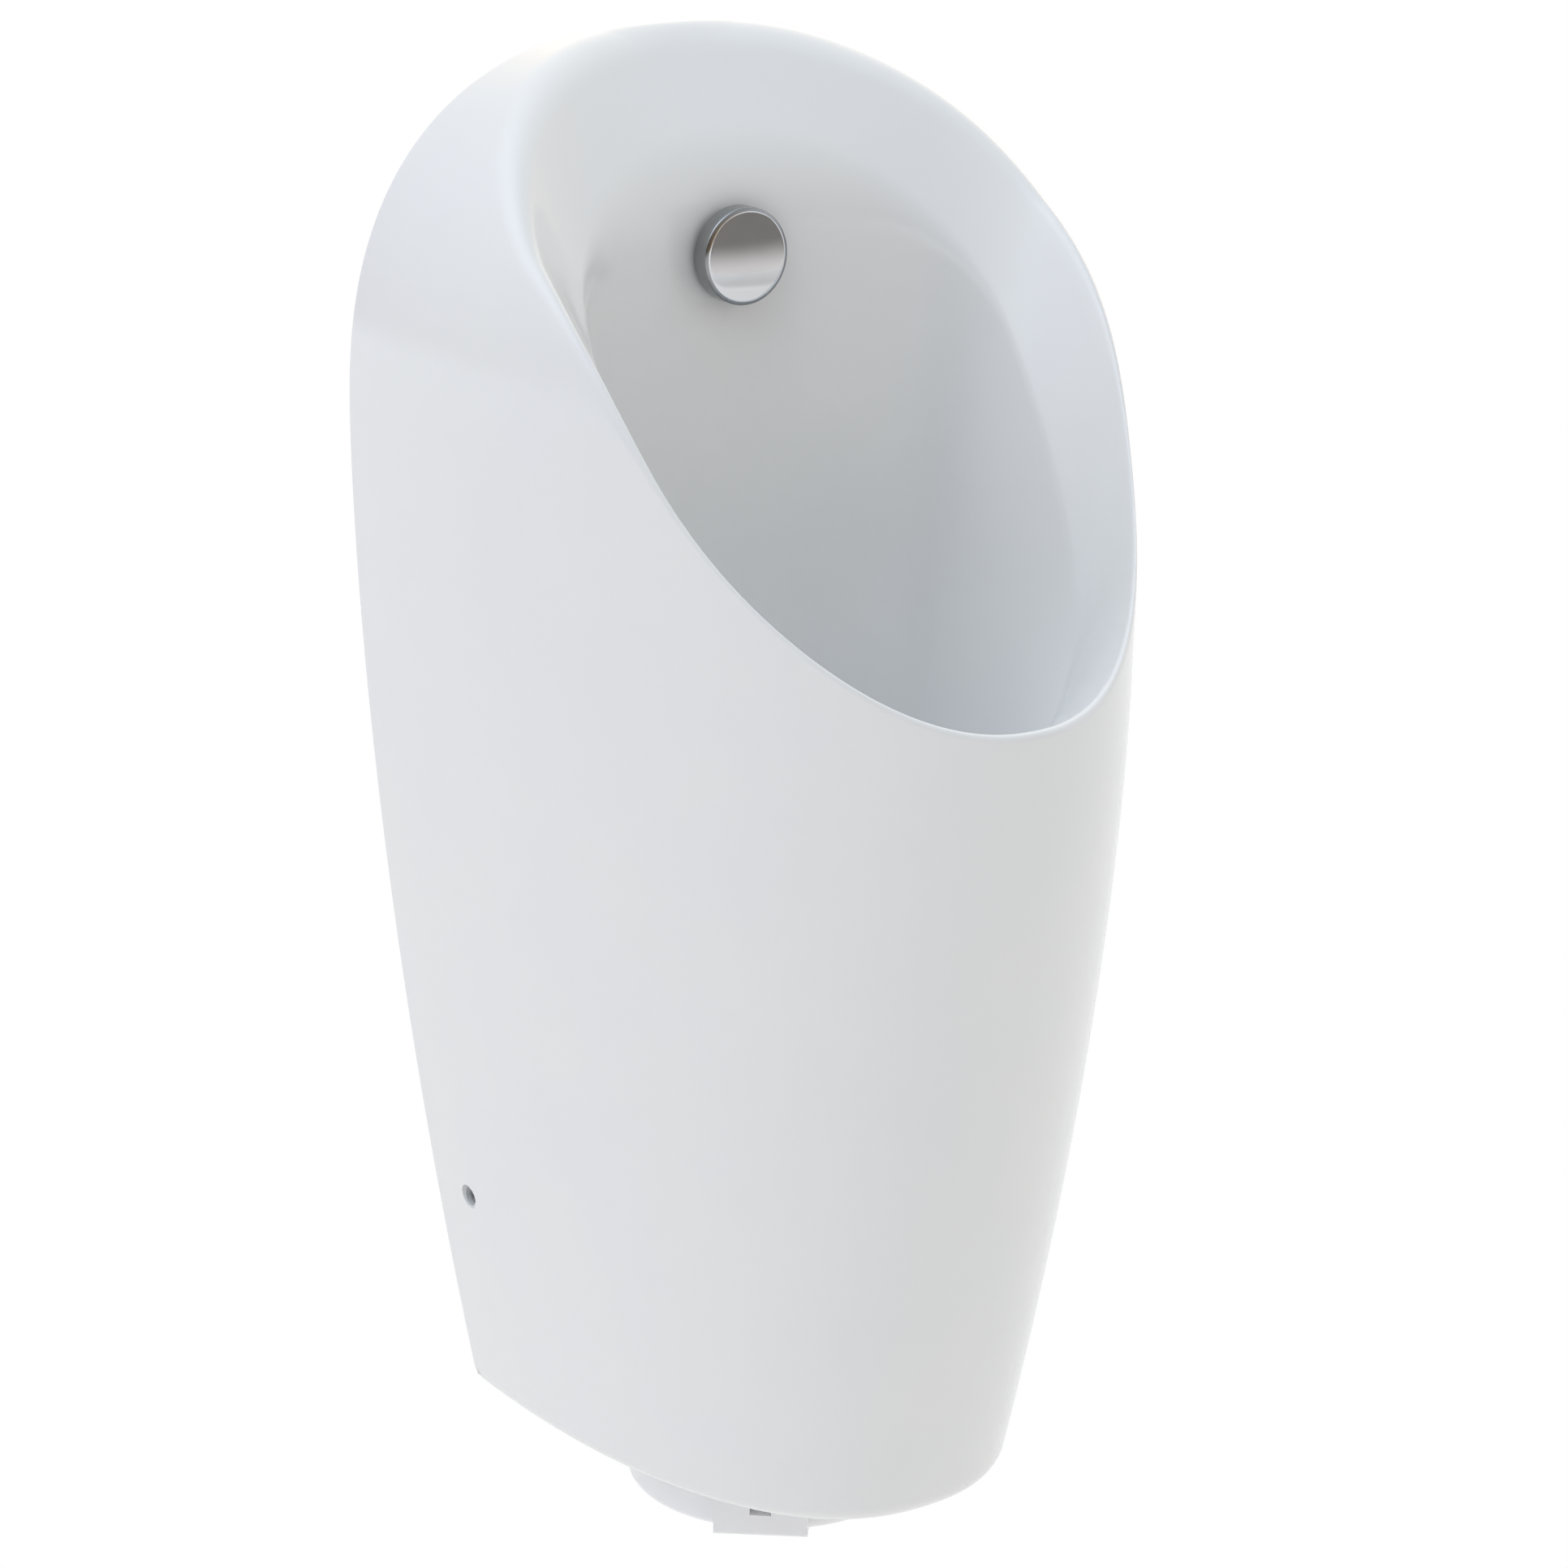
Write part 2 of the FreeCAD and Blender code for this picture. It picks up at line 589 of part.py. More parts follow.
# ================================================================ wall fixings
def wall_plate():
    """Sheet steel plate on the wall, with a hook under each china lug and a tongue for the valves."""
    beam = slab(-PLATE_HALF_WIDTH, PLATE_HALF_WIDTH, 0, PLATE_THICKNESS, PLATE_BEAM_BOTTOM, PLATE_TOP, PLATE_CORNER)
    tongue = slab(PLATE_TONGUE_LEFT, PLATE_TONGUE_RIGHT, 0, PLATE_THICKNESS,
                  PLATE_BOTTOM, PLATE_TOP - PLATE_CORNER, PLATE_CORNER)
    middle = FIXING_SPACING / 2
    shelf = LUG_HEIGHT - PAD_THICKNESS
    hook = joined([
        block(middle - HOOK_WIDTH / 2, middle + HOOK_WIDTH / 2, 0, HOOK_REACH, shelf - HOOK_THICKNESS, shelf),
        block(middle - HOOK_WIDTH / 2, middle + HOOK_WIDTH / 2, HOOK_REACH - HOOK_THICKNESS, HOOK_REACH,
              shelf - HOOK_THICKNESS, shelf + HOOK_RISE),
    ])
    plate = joined([beam, tongue, hook, mirrored(hook)])
    hole = rod(Vector(middle, -PLATE_THICKNESS - 1, FIXING_HEIGHT), TO_WALL, FIXING_HOLE_RADIUS, PLATE_THICKNESS + 2)
    inlet = rod(Vector(SUPPLY_X, -PLATE_THICKNESS - 1, INLET_HEIGHT), TO_WALL,
                STOP_RADIUS + RUNNING_GAP, PLATE_THICKNESS + 2)
    return plate.cut(Part.Compound([hole, mirrored(hole), inlet]))


def hanger_pads():
    """Two rubber pads between the hooks and the china lugs."""
    middle = FIXING_SPACING / 2
    pad = block(middle - HOOK_WIDTH / 2, middle + HOOK_WIDTH / 2, LUG_BACK, LUG_FRONT,
                LUG_HEIGHT - PAD_THICKNESS, LUG_HEIGHT)
    return Part.Compound([pad, mirrored(pad)])


def side_brackets():
    """Two moulded blocks on the wall that take the screws through the china's sides."""
    low, high = SIDE_HOLE_HEIGHT - SIDE_BLOCK_TALL / 2, SIDE_HOLE_HEIGHT + SIDE_BLOCK_TALL / 2
    body = slab(SIDE_BLOCK_INNER, SIDE_BLOCK_OUTER, 0, SIDE_BLOCK_DEEP, low, high, SIDE_BLOCK_CORNER)
    foot = slab(SIDE_FOOT_INNER, SIDE_BLOCK_INNER + 2 * SIDE_BLOCK_CORNER, 0, SIDE_FOOT_THICKNESS,
                low, high, SIDE_BLOCK_CORNER)
    bracket = joined([body, foot]).common(body_column(CHINA_WALL + ARMATURE_CLEARANCE, 1, CHINA_WALL, HOLLOW_TOP))
    hole = rod(Vector(SIDE_FIXING_SPACING / 2, -SIDE_FOOT_THICKNESS - 1, SIDE_HOLE_HEIGHT), TO_WALL,
               FIXING_HOLE_RADIUS, SIDE_FOOT_THICKNESS + 2)
    bore = rod(Vector(SIDE_BLOCK_INNER - 1, -SIDE_HOLE_DEPTH, SIDE_HOLE_HEIGHT), RIGHT,
               SIDE_SCREW_RADIUS + ARMATURE_CLEARANCE, SIDE_BLOCK_OUTER - SIDE_BLOCK_INNER + 2)
    recess = rod(sleeve_start(), RIGHT, SIDE_HOLE_RADIUS, CHINA_WALL)
    bracket = bracket.cut(Part.Compound([hole, bore, recess]))
    return Part.Compound([bracket, mirrored(bracket)])


def side_surface():
    """Distance from the symmetry plane to the china's outside at the side hole."""
    forward = SIDE_HOLE_DEPTH / body_depth(SIDE_HOLE_HEIGHT)
    power = section_power(SIDE_HOLE_HEIGHT)
    return half_width(SIDE_HOLE_HEIGHT) * (1 - forward ** power) ** (1 / power)


def sleeve_start():
    """Inner end of the right sleeve."""
    return Vector(side_surface() - CHINA_WALL + SIDE_SLEEVE_WALL, -SIDE_HOLE_DEPTH, SIDE_HOLE_HEIGHT)


def side_sleeves():
    """Two plastic sleeves that line the china's side holes."""
    outer = SIDE_HOLE_RADIUS - ARMATURE_CLEARANCE
    inner = outer - SIDE_SLEEVE_WALL
    bore = SIDE_SCREW_RADIUS + ARMATURE_CLEARANCE
    length = CHINA_WALL - 2 * SIDE_SLEEVE_WALL
    sleeve = turned([(bore, 0), (outer, 0), (outer, length), (inner, length), (inner, SIDE_SLEEVE_WALL),
                     (bore, SIDE_SLEEVE_WALL)], sleeve_start(), RIGHT)
    return Part.Compound([sleeve, mirrored(sleeve)])


def side_screws():
    """Two screws through the side holes into the blocks."""
    seat = sleeve_start() + RIGHT * SIDE_SLEEVE_WALL
    length = seat.x - SIDE_BLOCK_INNER
    shank = rod(seat, RIGHT * -1, SIDE_SCREW_RADIUS, length)
    head = rod(seat, RIGHT, SIDE_SCREW_HEAD_RADIUS, SIDE_SCREW_HEAD)
    key = hexagon(seat + RIGHT * SIDE_SLEEVE_WALL, RIGHT, SIDE_SCREW_RADIUS, SIDE_SCREW_HEAD)
    screw = joined([shank, head]).cut(key)
    return Part.Compound([screw, mirrored(screw)])


# ================================================================ the spray head
def spray_start():
    """Where the spray head's axis leaves the bowl's back wall."""
    return Vector(0, -THROAT_TOP_DEPTH - SPRAY_LAND, SPRAY_HEIGHT)


def spray_seal():
    """Rubber washer between the spray head and the china."""
    return pipe(spray_start(), TO_WALL * -1, SPRAY_SEAL_RADIUS, STEM_RADIUS + RUNNING_GAP, SPRAY_SEAL)


def spray_body():
    """Threaded stem and flange that carry the spray cap."""
    inside = SPRAY_RADIUS - SPRAY_SHELL - RUNNING_GAP
    flange_start, flange_end = SPRAY_SEAL, SPRAY_SEAL + SPRAY_FLANGE
    stem_end = STEM_END_DEPTH - THROAT_TOP_DEPTH - SPRAY_LAND
    return turned([(STEM_BORE, stem_end), (STEM_RADIUS, stem_end), (STEM_RADIUS, flange_start),
                   (inside, flange_start), (inside, flange_end), (STEM_BORE, flange_end)],
                  spray_start(), TO_WALL * -1)


def spray_cap():
    """Chromed cap with a bevelled face and a fan slot in its underside."""
    inside, face = SPRAY_RADIUS - SPRAY_SHELL, SPRAY_SEAL + SPRAY_LENGTH
    skirt = SPRAY_SEAL
    cap = turned([(0, face), (SPRAY_RADIUS - SPRAY_CHAMFER, face), (SPRAY_RADIUS, face - SPRAY_CHAMFER / 2),
                  (SPRAY_RADIUS, skirt), (inside, skirt), (inside, face - 2 * SPRAY_SHELL),
                  (0, face - 2 * SPRAY_SHELL)], spray_start(), TO_WALL * -1)
    depth = THROAT_TOP_DEPTH + SPRAY_LENGTH / 2 + SPRAY_SEAL
    slot = block(-SPRAY_SLOT_HALF, SPRAY_SLOT_HALF, depth - SPRAY_SLOT_TALL, depth + SPRAY_SLOT_TALL,
                 SPRAY_HEIGHT - SPRAY_RADIUS - 1, SPRAY_HEIGHT - SPRAY_RADIUS / 2)
    return cap.cut(slot)


def china_back():
    """Distance from the wall to the back of the bowl's china at the spray head."""
    return THROAT_TOP_DEPTH - CHINA_WALL


def spray_washer():
    """Rubber washer behind the china."""
    return pipe(Vector(0, -china_back() + RUNNING_GAP, SPRAY_HEIGHT), TO_WALL,
                NUT_RADIUS, STEM_RADIUS + RUNNING_GAP, SPRAY_SEAL)


def spray_nut():
    """Back nut that clamps the stem to the china."""
    start = Vector(0, -china_back() + RUNNING_GAP + SPRAY_SEAL, SPRAY_HEIGHT)
    return hex_nut(start, TO_WALL, NUT_RADIUS, STEM_RADIUS + ARMATURE_CLEARANCE, NUT_THICKNESS)


def elbow_front():
    """Distance from the wall to the elbow's front face."""
    return china_back() - SPRAY_SEAL - NUT_THICKNESS - 2 * RUNNING_GAP


def spray_elbow():
    """Brass elbow from the flush pipe to the stem."""
    radius = STEM_RADIUS + ELBOW_WALL
    back = SUPPLY_DEPTH - radius
    run = rod(Vector(0, -elbow_front(), SPRAY_HEIGHT), TO_WALL, radius, elbow_front() - back)
    drop = rod(Vector(0, -SUPPLY_DEPTH, SPRAY_HEIGHT - 2 * radius), UP, radius - 2, 2 * radius)
    socket = rod(Vector(0, -elbow_front() - 1, SPRAY_HEIGHT), TO_WALL, STEM_RADIUS + ARMATURE_CLEARANCE,
                 elbow_front() - STEM_END_DEPTH + 1)
    way = rod(Vector(0, -elbow_front(), SPRAY_HEIGHT), TO_WALL, STEM_BORE, elbow_front() - back - PIPE_WALL * 3)
    pipe_way = rod(Vector(0, -SUPPLY_DEPTH, SPRAY_HEIGHT - 2 * radius - 1), UP, STEM_BORE, 2 * radius)
    seat = rod(Vector(0, -SUPPLY_DEPTH, SPRAY_HEIGHT - 2 * radius - 1), UP, PIPE_RADIUS + ARMATURE_CLEARANCE, radius)
    return joined([run, drop]).cut(Part.Compound([socket, way, pipe_way, seat]))


def elbow_bottom():
    """Height of the elbow's open lower end."""
    return SPRAY_HEIGHT - 2 * (STEM_RADIUS + ELBOW_WALL)


def flush_pipe():
    """Copper tube from the flush valve up to the elbow."""
    bottom = VALVE_TOP - COUPLING_NUT_TALL / 2
    top = elbow_bottom() + STEM_RADIUS
    return pipe(Vector(0, -SUPPLY_DEPTH, bottom), UP, PIPE_RADIUS, PIPE_RADIUS - PIPE_WALL, top - bottom)


def pipe_nuts():
    """Coupling nuts at both ends of the flush pipe."""
    bore = PIPE_RADIUS + ARMATURE_CLEARANCE
    lower = hex_nut(Vector(0, -SUPPLY_DEPTH, VALVE_TOP), UP, COUPLING_NUT_RADIUS, bore, COUPLING_NUT_TALL)
    upper = hex_nut(Vector(0, -SUPPLY_DEPTH, elbow_bottom() - COUPLING_NUT_TALL), UP,
                    COUPLING_NUT_RADIUS, bore, COUPLING_NUT_TALL)
    return Part.Compound([lower, upper])


# ================================================================ the flush valve
def valve_axis(x, z):
    """A point in the plane of the pipes."""
    return Vector(x, -SUPPLY_DEPTH, z)


def valve_body():
    """Brass valve body: feed from below, a chamber with a raised seat, and the way across to the outlet."""
    low = VALVE_FLOOR - VALVE_BLOCK_BELOW
    core = slab(-VALVE_PORT_RADIUS, VALVE_X + VALVE_PORT_RADIUS + 3, SUPPLY_DEPTH - VALVE_BLOCK_HALF,
                SUPPLY_DEPTH + VALVE_BLOCK_HALF, low, VALVE_FLOOR + CHAMBER_TALL, 3)
    outlet = rod(valve_axis(0, VALVE_FLOOR), UP, VALVE_PORT_RADIUS, VALVE_TOP - VALVE_FLOOR)
    inlet_bottom = STOP_TOP + COUPLING_NUT_TALL / 2
    inlet = rod(valve_axis(SUPPLY_X, inlet_bottom), UP, PIPE_RADIUS + 1, low - inlet_bottom + 1)
    seat = rod(valve_axis(VALVE_X, VALVE_FLOOR - 1), UP, SEAT_RADIUS + 1, SEAT_RISE + 1)
    across = VALVE_FLOOR - VALVE_BLOCK_BELOW / 2
    chamber = rod(valve_axis(VALVE_X, VALVE_FLOOR), UP, CHAMBER_RADIUS, CHAMBER_TALL + 1)
    ways = [
        rod(valve_axis(VALVE_X, across), UP, SEAT_RADIUS, VALVE_BLOCK_BELOW),
        rod(valve_axis(VALVE_X, across), RIGHT * -1, SEAT_RADIUS, VALVE_X),
        rod(valve_axis(0, across), UP, WATERWAY, VALVE_TOP - across + 1),
        rod(valve_axis(0, VALVE_TOP - COUPLING_NUT_TALL / 2), UP, PIPE_RADIUS + ARMATURE_CLEARANCE, COUPLING_NUT_TALL),
        rod(valve_axis(SUPPLY_X, inlet_bottom - 1), UP, WATERWAY, low - inlet_bottom + 1),
        rod(valve_axis(SUPPLY_X, low - 1), UP, FEED_RADIUS, VALVE_BLOCK_BELOW + 2),
    ]
    return joined([joined([core, outlet, inlet]).cut(chamber), seat]).cut(Part.Compound(ways))


def coil_bottom():
    """Height of the coil's base on the valve body."""
    return VALVE_FLOOR + CHAMBER_TALL


def valve_coil():
    """Encapsulated coil with a blind tube for the armature and a plug socket."""
    start = valve_axis(VALVE_X, coil_bottom())
    case = rod(start, UP, COIL_RADIUS, COIL_LENGTH)
    side = VALVE_X + COIL_RADIUS
    plug = slab(side - COIL_PLUG_DEEP, side + COIL_PLUG_REACH, SUPPLY_DEPTH - COIL_PLUG_HALF,
                SUPPLY_DEPTH + COIL_PLUG_HALF, coil_bottom() + COIL_PLUG_MARGIN,
                coil_bottom() + COIL_LENGTH - COIL_PLUG_MARGIN, COIL_PLUG_CORNER)
    tube = rod(start, UP, ARMATURE_RADIUS + ARMATURE_CLEARANCE, COIL_LENGTH - COIL_CROWN)
    return joined([case, plug]).cut(tube)


def tip_bottom():
    """Height of the armature's rubber tip with the valve shut."""
    return VALVE_FLOOR + SEAT_RISE


def armature():
    """Steel armature with a collar that the spring bears on."""
    start = valve_axis(VALVE_X, tip_bottom() + TIP_THICKNESS)
    stem = rod(start, UP, ARMATURE_RADIUS, ARMATURE_LENGTH)
    collar = rod(start, UP, ARMATURE_COLLAR_RADIUS, ARMATURE_COLLAR)
    return joined([stem, collar])


def armature_tip():
    """Rubber tip that closes the seat."""
    return rod(valve_axis(VALVE_X, tip_bottom()), UP, TIP_RADIUS, TIP_THICKNESS)


def valve_spring():
    """The armature's closing spring, drawn as the sleeve that its turns fill."""
    start = tip_bottom() + TIP_THICKNESS + ARMATURE_COLLAR
    return pipe(valve_axis(VALVE_X, start), UP, ARMATURE_COLLAR_RADIUS, ARMATURE_RADIUS + RUNNING_GAP,
                coil_bottom() - start)


# ================================================================ the stop valve
def ball_centre():
    """Centre of the stop valve's ball."""
    return valve_axis(SUPPLY_X, STOP_HEIGHT)


def stop_valve_body():
    """Brass angle stop valve with a threaded inlet at the wall."""
    bottom = INLET_HEIGHT - STOP_RADIUS
    column = rod(valve_axis(SUPPLY_X, bottom), UP, STOP_RADIUS, STOP_TOP - COUPLING_NUT_TALL / 2 - bottom)
    spigot = rod(valve_axis(SUPPLY_X, bottom), UP, PIPE_RADIUS + 1, STOP_TOP - bottom)
    branch = rod(Vector(SUPPLY_X, -SUPPLY_DEPTH, INLET_HEIGHT), TO_WALL, STOP_RADIUS, SUPPLY_DEPTH)
    ways = [
        Part.makeSphere(BALL_RADIUS + BALL_CLEARANCE, ball_centre()),
        rod(valve_axis(SUPPLY_X, INLET_HEIGHT), UP, BALL_BORE, STOP_TOP - INLET_HEIGHT + 1),
        rod(Vector(SUPPLY_X, -SUPPLY_DEPTH, INLET_HEIGHT), TO_WALL, BALL_BORE, SUPPLY_DEPTH),
        rod(Vector(SUPPLY_X, -INLET_THREAD_LENGTH, INLET_HEIGHT), TO_WALL, INLET_THREAD_RADIUS,
            INLET_THREAD_LENGTH + 1),
        rod(ball_centre(), RIGHT * -1, SPINDLE_RADIUS + SPINDLE_CLEARANCE, 2 * STOP_RADIUS),
    ]
    return joined([column, spigot, branch]).cut(Part.Compound(ways))


def stop_ball():
    """Chromed ball with its waterway and a socket for the spindle."""
    way = rod(ball_centre() - UP * STOP_RADIUS, UP, BALL_BORE, 2 * STOP_RADIUS)
    socket = rod(spindle_start(), RIGHT * -1, SPINDLE_RADIUS + SPINDLE_CLEARANCE, BALL_RADIUS)
    return Part.makeSphere(BALL_RADIUS, ball_centre()).cut(way).cut(socket)


def lever_start():
    """Where the lever's inner face stands, left of the stop valve."""
    return SUPPLY_X - STOP_RADIUS - 2


def spindle_start():
    """The spindle's inner end, at the bottom of the ball's socket."""
    return ball_centre() - RIGHT * (BALL_RADIUS - BALL_SOCKET)


def stop_spindle():
    """Spindle that turns the ball."""
    start = spindle_start()
    return rod(start, RIGHT * -1, SPINDLE_RADIUS, start.x - lever_start() + LEVER_THICKNESS)


def stop_lever():
    """Short lever on the spindle, pointing down when the valve is open."""
    outer = lever_start() - LEVER_THICKNESS
    hub = rod(Vector(outer, -SUPPLY_DEPTH, STOP_HEIGHT), RIGHT, LEVER_WIDTH / 2 + 1, LEVER_THICKNESS)
    arm = block(outer, lever_start(), SUPPLY_DEPTH - LEVER_WIDTH / 2, SUPPLY_DEPTH + LEVER_WIDTH / 2,
                STOP_HEIGHT - LEVER_LENGTH, STOP_HEIGHT)
    tip = rod(Vector(outer, -SUPPLY_DEPTH, STOP_HEIGHT - LEVER_LENGTH), RIGHT, LEVER_WIDTH / 2, LEVER_THICKNESS)
    bore = rod(Vector(outer - 1, -SUPPLY_DEPTH, STOP_HEIGHT), RIGHT, SPINDLE_RADIUS + SPINDLE_CLEARANCE,
               LEVER_THICKNESS + 2)
    return joined([hub, arm, tip]).cut(bore)


def lever_screw():
    """Screw that holds the lever on the spindle."""
    return rod(Vector(lever_start() - LEVER_THICKNESS, -SUPPLY_DEPTH, STOP_HEIGHT), RIGHT * -1,
               SPINDLE_RADIUS + 1, 2)


def inlet_nut():
    """Coupling nut between the stop valve and the flush valve."""
    start = STOP_TOP - COUPLING_NUT_TALL / 2 + ARMATURE_CLEARANCE
    return hex_nut(valve_axis(SUPPLY_X, start), UP, COUPLING_NUT_RADIUS - 2,
                   PIPE_RADIUS + 1 + ARMATURE_CLEARANCE, 1.5 * COUPLING_NUT_TALL)


def inlet_filter():
    """Dished strainer between the two valves."""
    start = STOP_TOP + ARMATURE_CLEARANCE
    radius = PIPE_RADIUS + 1
    rise = COUPLING_NUT_TALL / 2 - 2 * ARMATURE_CLEARANCE
    inner = radius - 1.5
    cup = turned([(inner - 1, 0), (radius, 0), (radius, rise), (inner, rise), (inner, 1), (inner - 1, 1)],
                 valve_axis(SUPPLY_X, start), UP)
    return joined([cup, rod(valve_axis(SUPPLY_X, start), UP, inner, 1)])


# ================================================================ the control unit
def control_base():
    """Moulded tray of the control unit, open to the front."""
    tray = slab(BOX_LEFT, BOX_RIGHT, PLATE_THICKNESS, BOX_BASE_DEPTH, BOX_BOTTOM, BOX_TOP, BOX_CORNER)
    room = slab(BOX_LEFT + BOX_WALL, BOX_RIGHT - BOX_WALL, PLATE_THICKNESS + BOX_WALL, BOX_BASE_DEPTH + 1,
                BOX_BOTTOM + BOX_WALL, BOX_TOP - BOX_WALL, BOX_CORNER - BOX_WALL)
    return tray.cut(room)


def control_lid():
    """Moulded front of the control unit, open to the back."""
    lid = slab(BOX_LEFT, BOX_RIGHT, BOX_BASE_DEPTH, BOX_LID_DEPTH, BOX_BOTTOM, BOX_TOP, BOX_CORNER)
    room = slab(BOX_LEFT + BOX_WALL, BOX_RIGHT - BOX_WALL, BOX_BASE_DEPTH - 1, BOX_LID_DEPTH - BOX_WALL,
                BOX_BOTTOM + BOX_WALL, BOX_TOP - BOX_WALL, BOX_CORNER - BOX_WALL)
    return lid.cut(room)


def circuit_board():
    """Control board at the back of the tray."""
    back = PLATE_THICKNESS + BOX_WALL
    gap = BOX_WALL + RUNNING_GAP + BOARD_MARGIN
    return block(BOX_LEFT + gap, BOX_RIGHT - gap, back, back + BOARD_THICKNESS, BOX_BOTTOM + gap, BOX_TOP - gap)


def sensor_bottom():
    """Height of the sensor's underside."""
    return BOX_TOP - SENSOR_MARGIN - SENSOR_TALL


def battery_pack():
    """Sealed battery pack in the lower half of the unit."""
    back = PLATE_THICKNESS + BOX_WALL + BOARD_THICKNESS
    return slab(BOX_LEFT + BATTERY_SIDE, BOX_RIGHT - BATTERY_SIDE, back, BOX_LID_DEPTH - BOX_WALL,
                BOX_BOTTOM + BATTERY_MARGIN, sensor_bottom() - SENSOR_GAP, BATTERY_CORNER)


def sensor_module():
    """Presence sensor that looks through the china from inside the lid."""
    back = PLATE_THICKNESS + BOX_WALL + BOARD_THICKNESS
    front = BOX_LID_DEPTH - BOX_WALL
    head = slab(BOX_LEFT + SENSOR_SIDE, BOX_RIGHT - SENSOR_SIDE, front - SENSOR_DEEP, front,
                sensor_bottom(), sensor_bottom() + SENSOR_TALL, SENSOR_CORNER)
    post = rod(Vector((BOX_LEFT + BOX_RIGHT) / 2, -back, sensor_bottom() + SENSOR_TALL / 2), TO_WALL * -1,
               SENSOR_POST_RADIUS, front - SENSOR_DEEP + 1 - back)
    return joined([head, post])


def valve_clamp():
    """Saddle that holds the flush valve's outlet on the wall plate."""
    half = VALVE_PORT_RADIUS + CLAMP_WALL
    tall = VALVE_TOP - coil_bottom() - CLAMP_GAP
    saddle = block(-half, half, PLATE_THICKNESS, SUPPLY_DEPTH + CLAMP_FRONT, coil_bottom(), coil_bottom() + tall)
    return saddle.cut(rod(valve_axis(0, coil_bottom() - 1), UP, VALVE_PORT_RADIUS, tall + 2))


# ================================================================ trap and waste
def trap_axis(z):
    """A point on the trap's axis."""
    return Vector(0, -OUTLET_DEPTH, z)


def bayonet_arc(start_angle, spread, inner, outer, z0, z1):
    """A block of a ring about the trap's axis, between two radii, two angles and two heights."""
    ring = rod(trap_axis(z0), UP, outer, z1 - z0).cut(rod(trap_axis(z0), UP, inner, z1 - z0))
    wedge = Part.makeCylinder(2 * outer, z1 - z0, trap_axis(z0), UP, spread)
    wedge.rotate(trap_axis(z0), UP, start_angle)
    return ring.common(wedge)


def trap_housing():
    """Moulded trap body: bayonet collar below, socket for the china's horn above, waste socket behind."""
    inner = TRAP_RADIUS - TRAP_WALL
    neck = TRAP_COLLAR_TOP + TRAP_COLLAR_RADIUS - TRAP_RADIUS
    socket_bore = HORN_RADIUS + SEAL_THICKNESS
    socket_top = TRAP_TOP + HORN_LENGTH / 2
    shell = turned([(TRAP_COLLAR_BORE, TRAP_COLLAR_BOTTOM), (TRAP_COLLAR_RADIUS, TRAP_COLLAR_BOTTOM),
                    (TRAP_COLLAR_RADIUS, CHINA_WALL), (TRAP_FLANGE_RADIUS, CHINA_WALL),
                    (TRAP_FLANGE_RADIUS, CHINA_WALL + TRAP_FLANGE), (TRAP_COLLAR_RADIUS, CHINA_WALL + TRAP_FLANGE),
                    (TRAP_COLLAR_RADIUS, TRAP_COLLAR_TOP), (TRAP_RADIUS, neck), (TRAP_RADIUS, TRAP_TOP),
                    (socket_bore + SOCKET_WALL, TRAP_TOP), (socket_bore + SOCKET_WALL, socket_top),
                    (socket_bore, socket_top), (socket_bore, TRAP_TOP),
                    (INSERT_RADIUS + RUNNING_GAP, TRAP_TOP), (INSERT_RADIUS + RUNNING_GAP, TRAP_TOP - TRAP_WALL),
                    (inner, TRAP_TOP - TRAP_WALL), (inner, neck), (TRAP_COLLAR_BORE, TRAP_COLLAR_TOP)],
                   trap_axis(0), UP)
    port_start = Vector(0, -OUTLET_DEPTH + inner, WASTE_HEIGHT)
    port_end = WASTE_START_DEPTH - WASTE_SOCKET
    socket = rod(port_start, TO_WALL, WASTE_RADIUS + SEAL_THICKNESS + SOCKET_WALL, OUTLET_DEPTH - inner - port_end)
    room = rod(Vector(0, -WASTE_START_DEPTH, WASTE_HEIGHT), TO_WALL, WASTE_RADIUS + SEAL_THICKNESS,
               WASTE_START_DEPTH)
    way = rod(Vector(0, -OUTLET_DEPTH + inner / 2, WASTE_HEIGHT), TO_WALL, WASTE_RADIUS - WASTE_WALL, OUTLET_DEPTH)
    groove_bottom = BAYONET_HEIGHT - BAYONET_CLEARANCE
    groove_top = BAYONET_HEIGHT + BAYONET_TALL + BAYONET_CLEARANCE
    outer = COVER_PLUG_RADIUS + BAYONET_REACH + BAYONET_CLEARANCE
    cuts = [room, way, bayonet_arc(0, 360, TRAP_COLLAR_BORE - 1, outer, groove_bottom, groove_top)]
    for k in range(LUG_COUNT):
        start = 360 / LUG_COUNT * k + BAYONET_TURN - 1
        cuts.append(bayonet_arc(start, BAYONET_SPREAD + 2, TRAP_COLLAR_BORE - 1, outer,
                                TRAP_COLLAR_BOTTOM - 1, groove_top))
    inside = rod(trap_axis(neck), UP, inner, TRAP_TOP - TRAP_WALL - neck)
    return joined([shell, socket.cut(inside)]).cut(Part.Compound(cuts))


def outlet_seal():
    """Rubber sleeve between the china's horn and the trap's socket."""
    bore = HORN_RADIUS
    start = TRAP_TOP + INSERT_FLANGE + ARMATURE_CLEARANCE
    return pipe(trap_axis(start), UP, bore + SEAL_THICKNESS, bore,
                HORN_LENGTH / 2 - INSERT_FLANGE - ARMATURE_CLEARANCE)


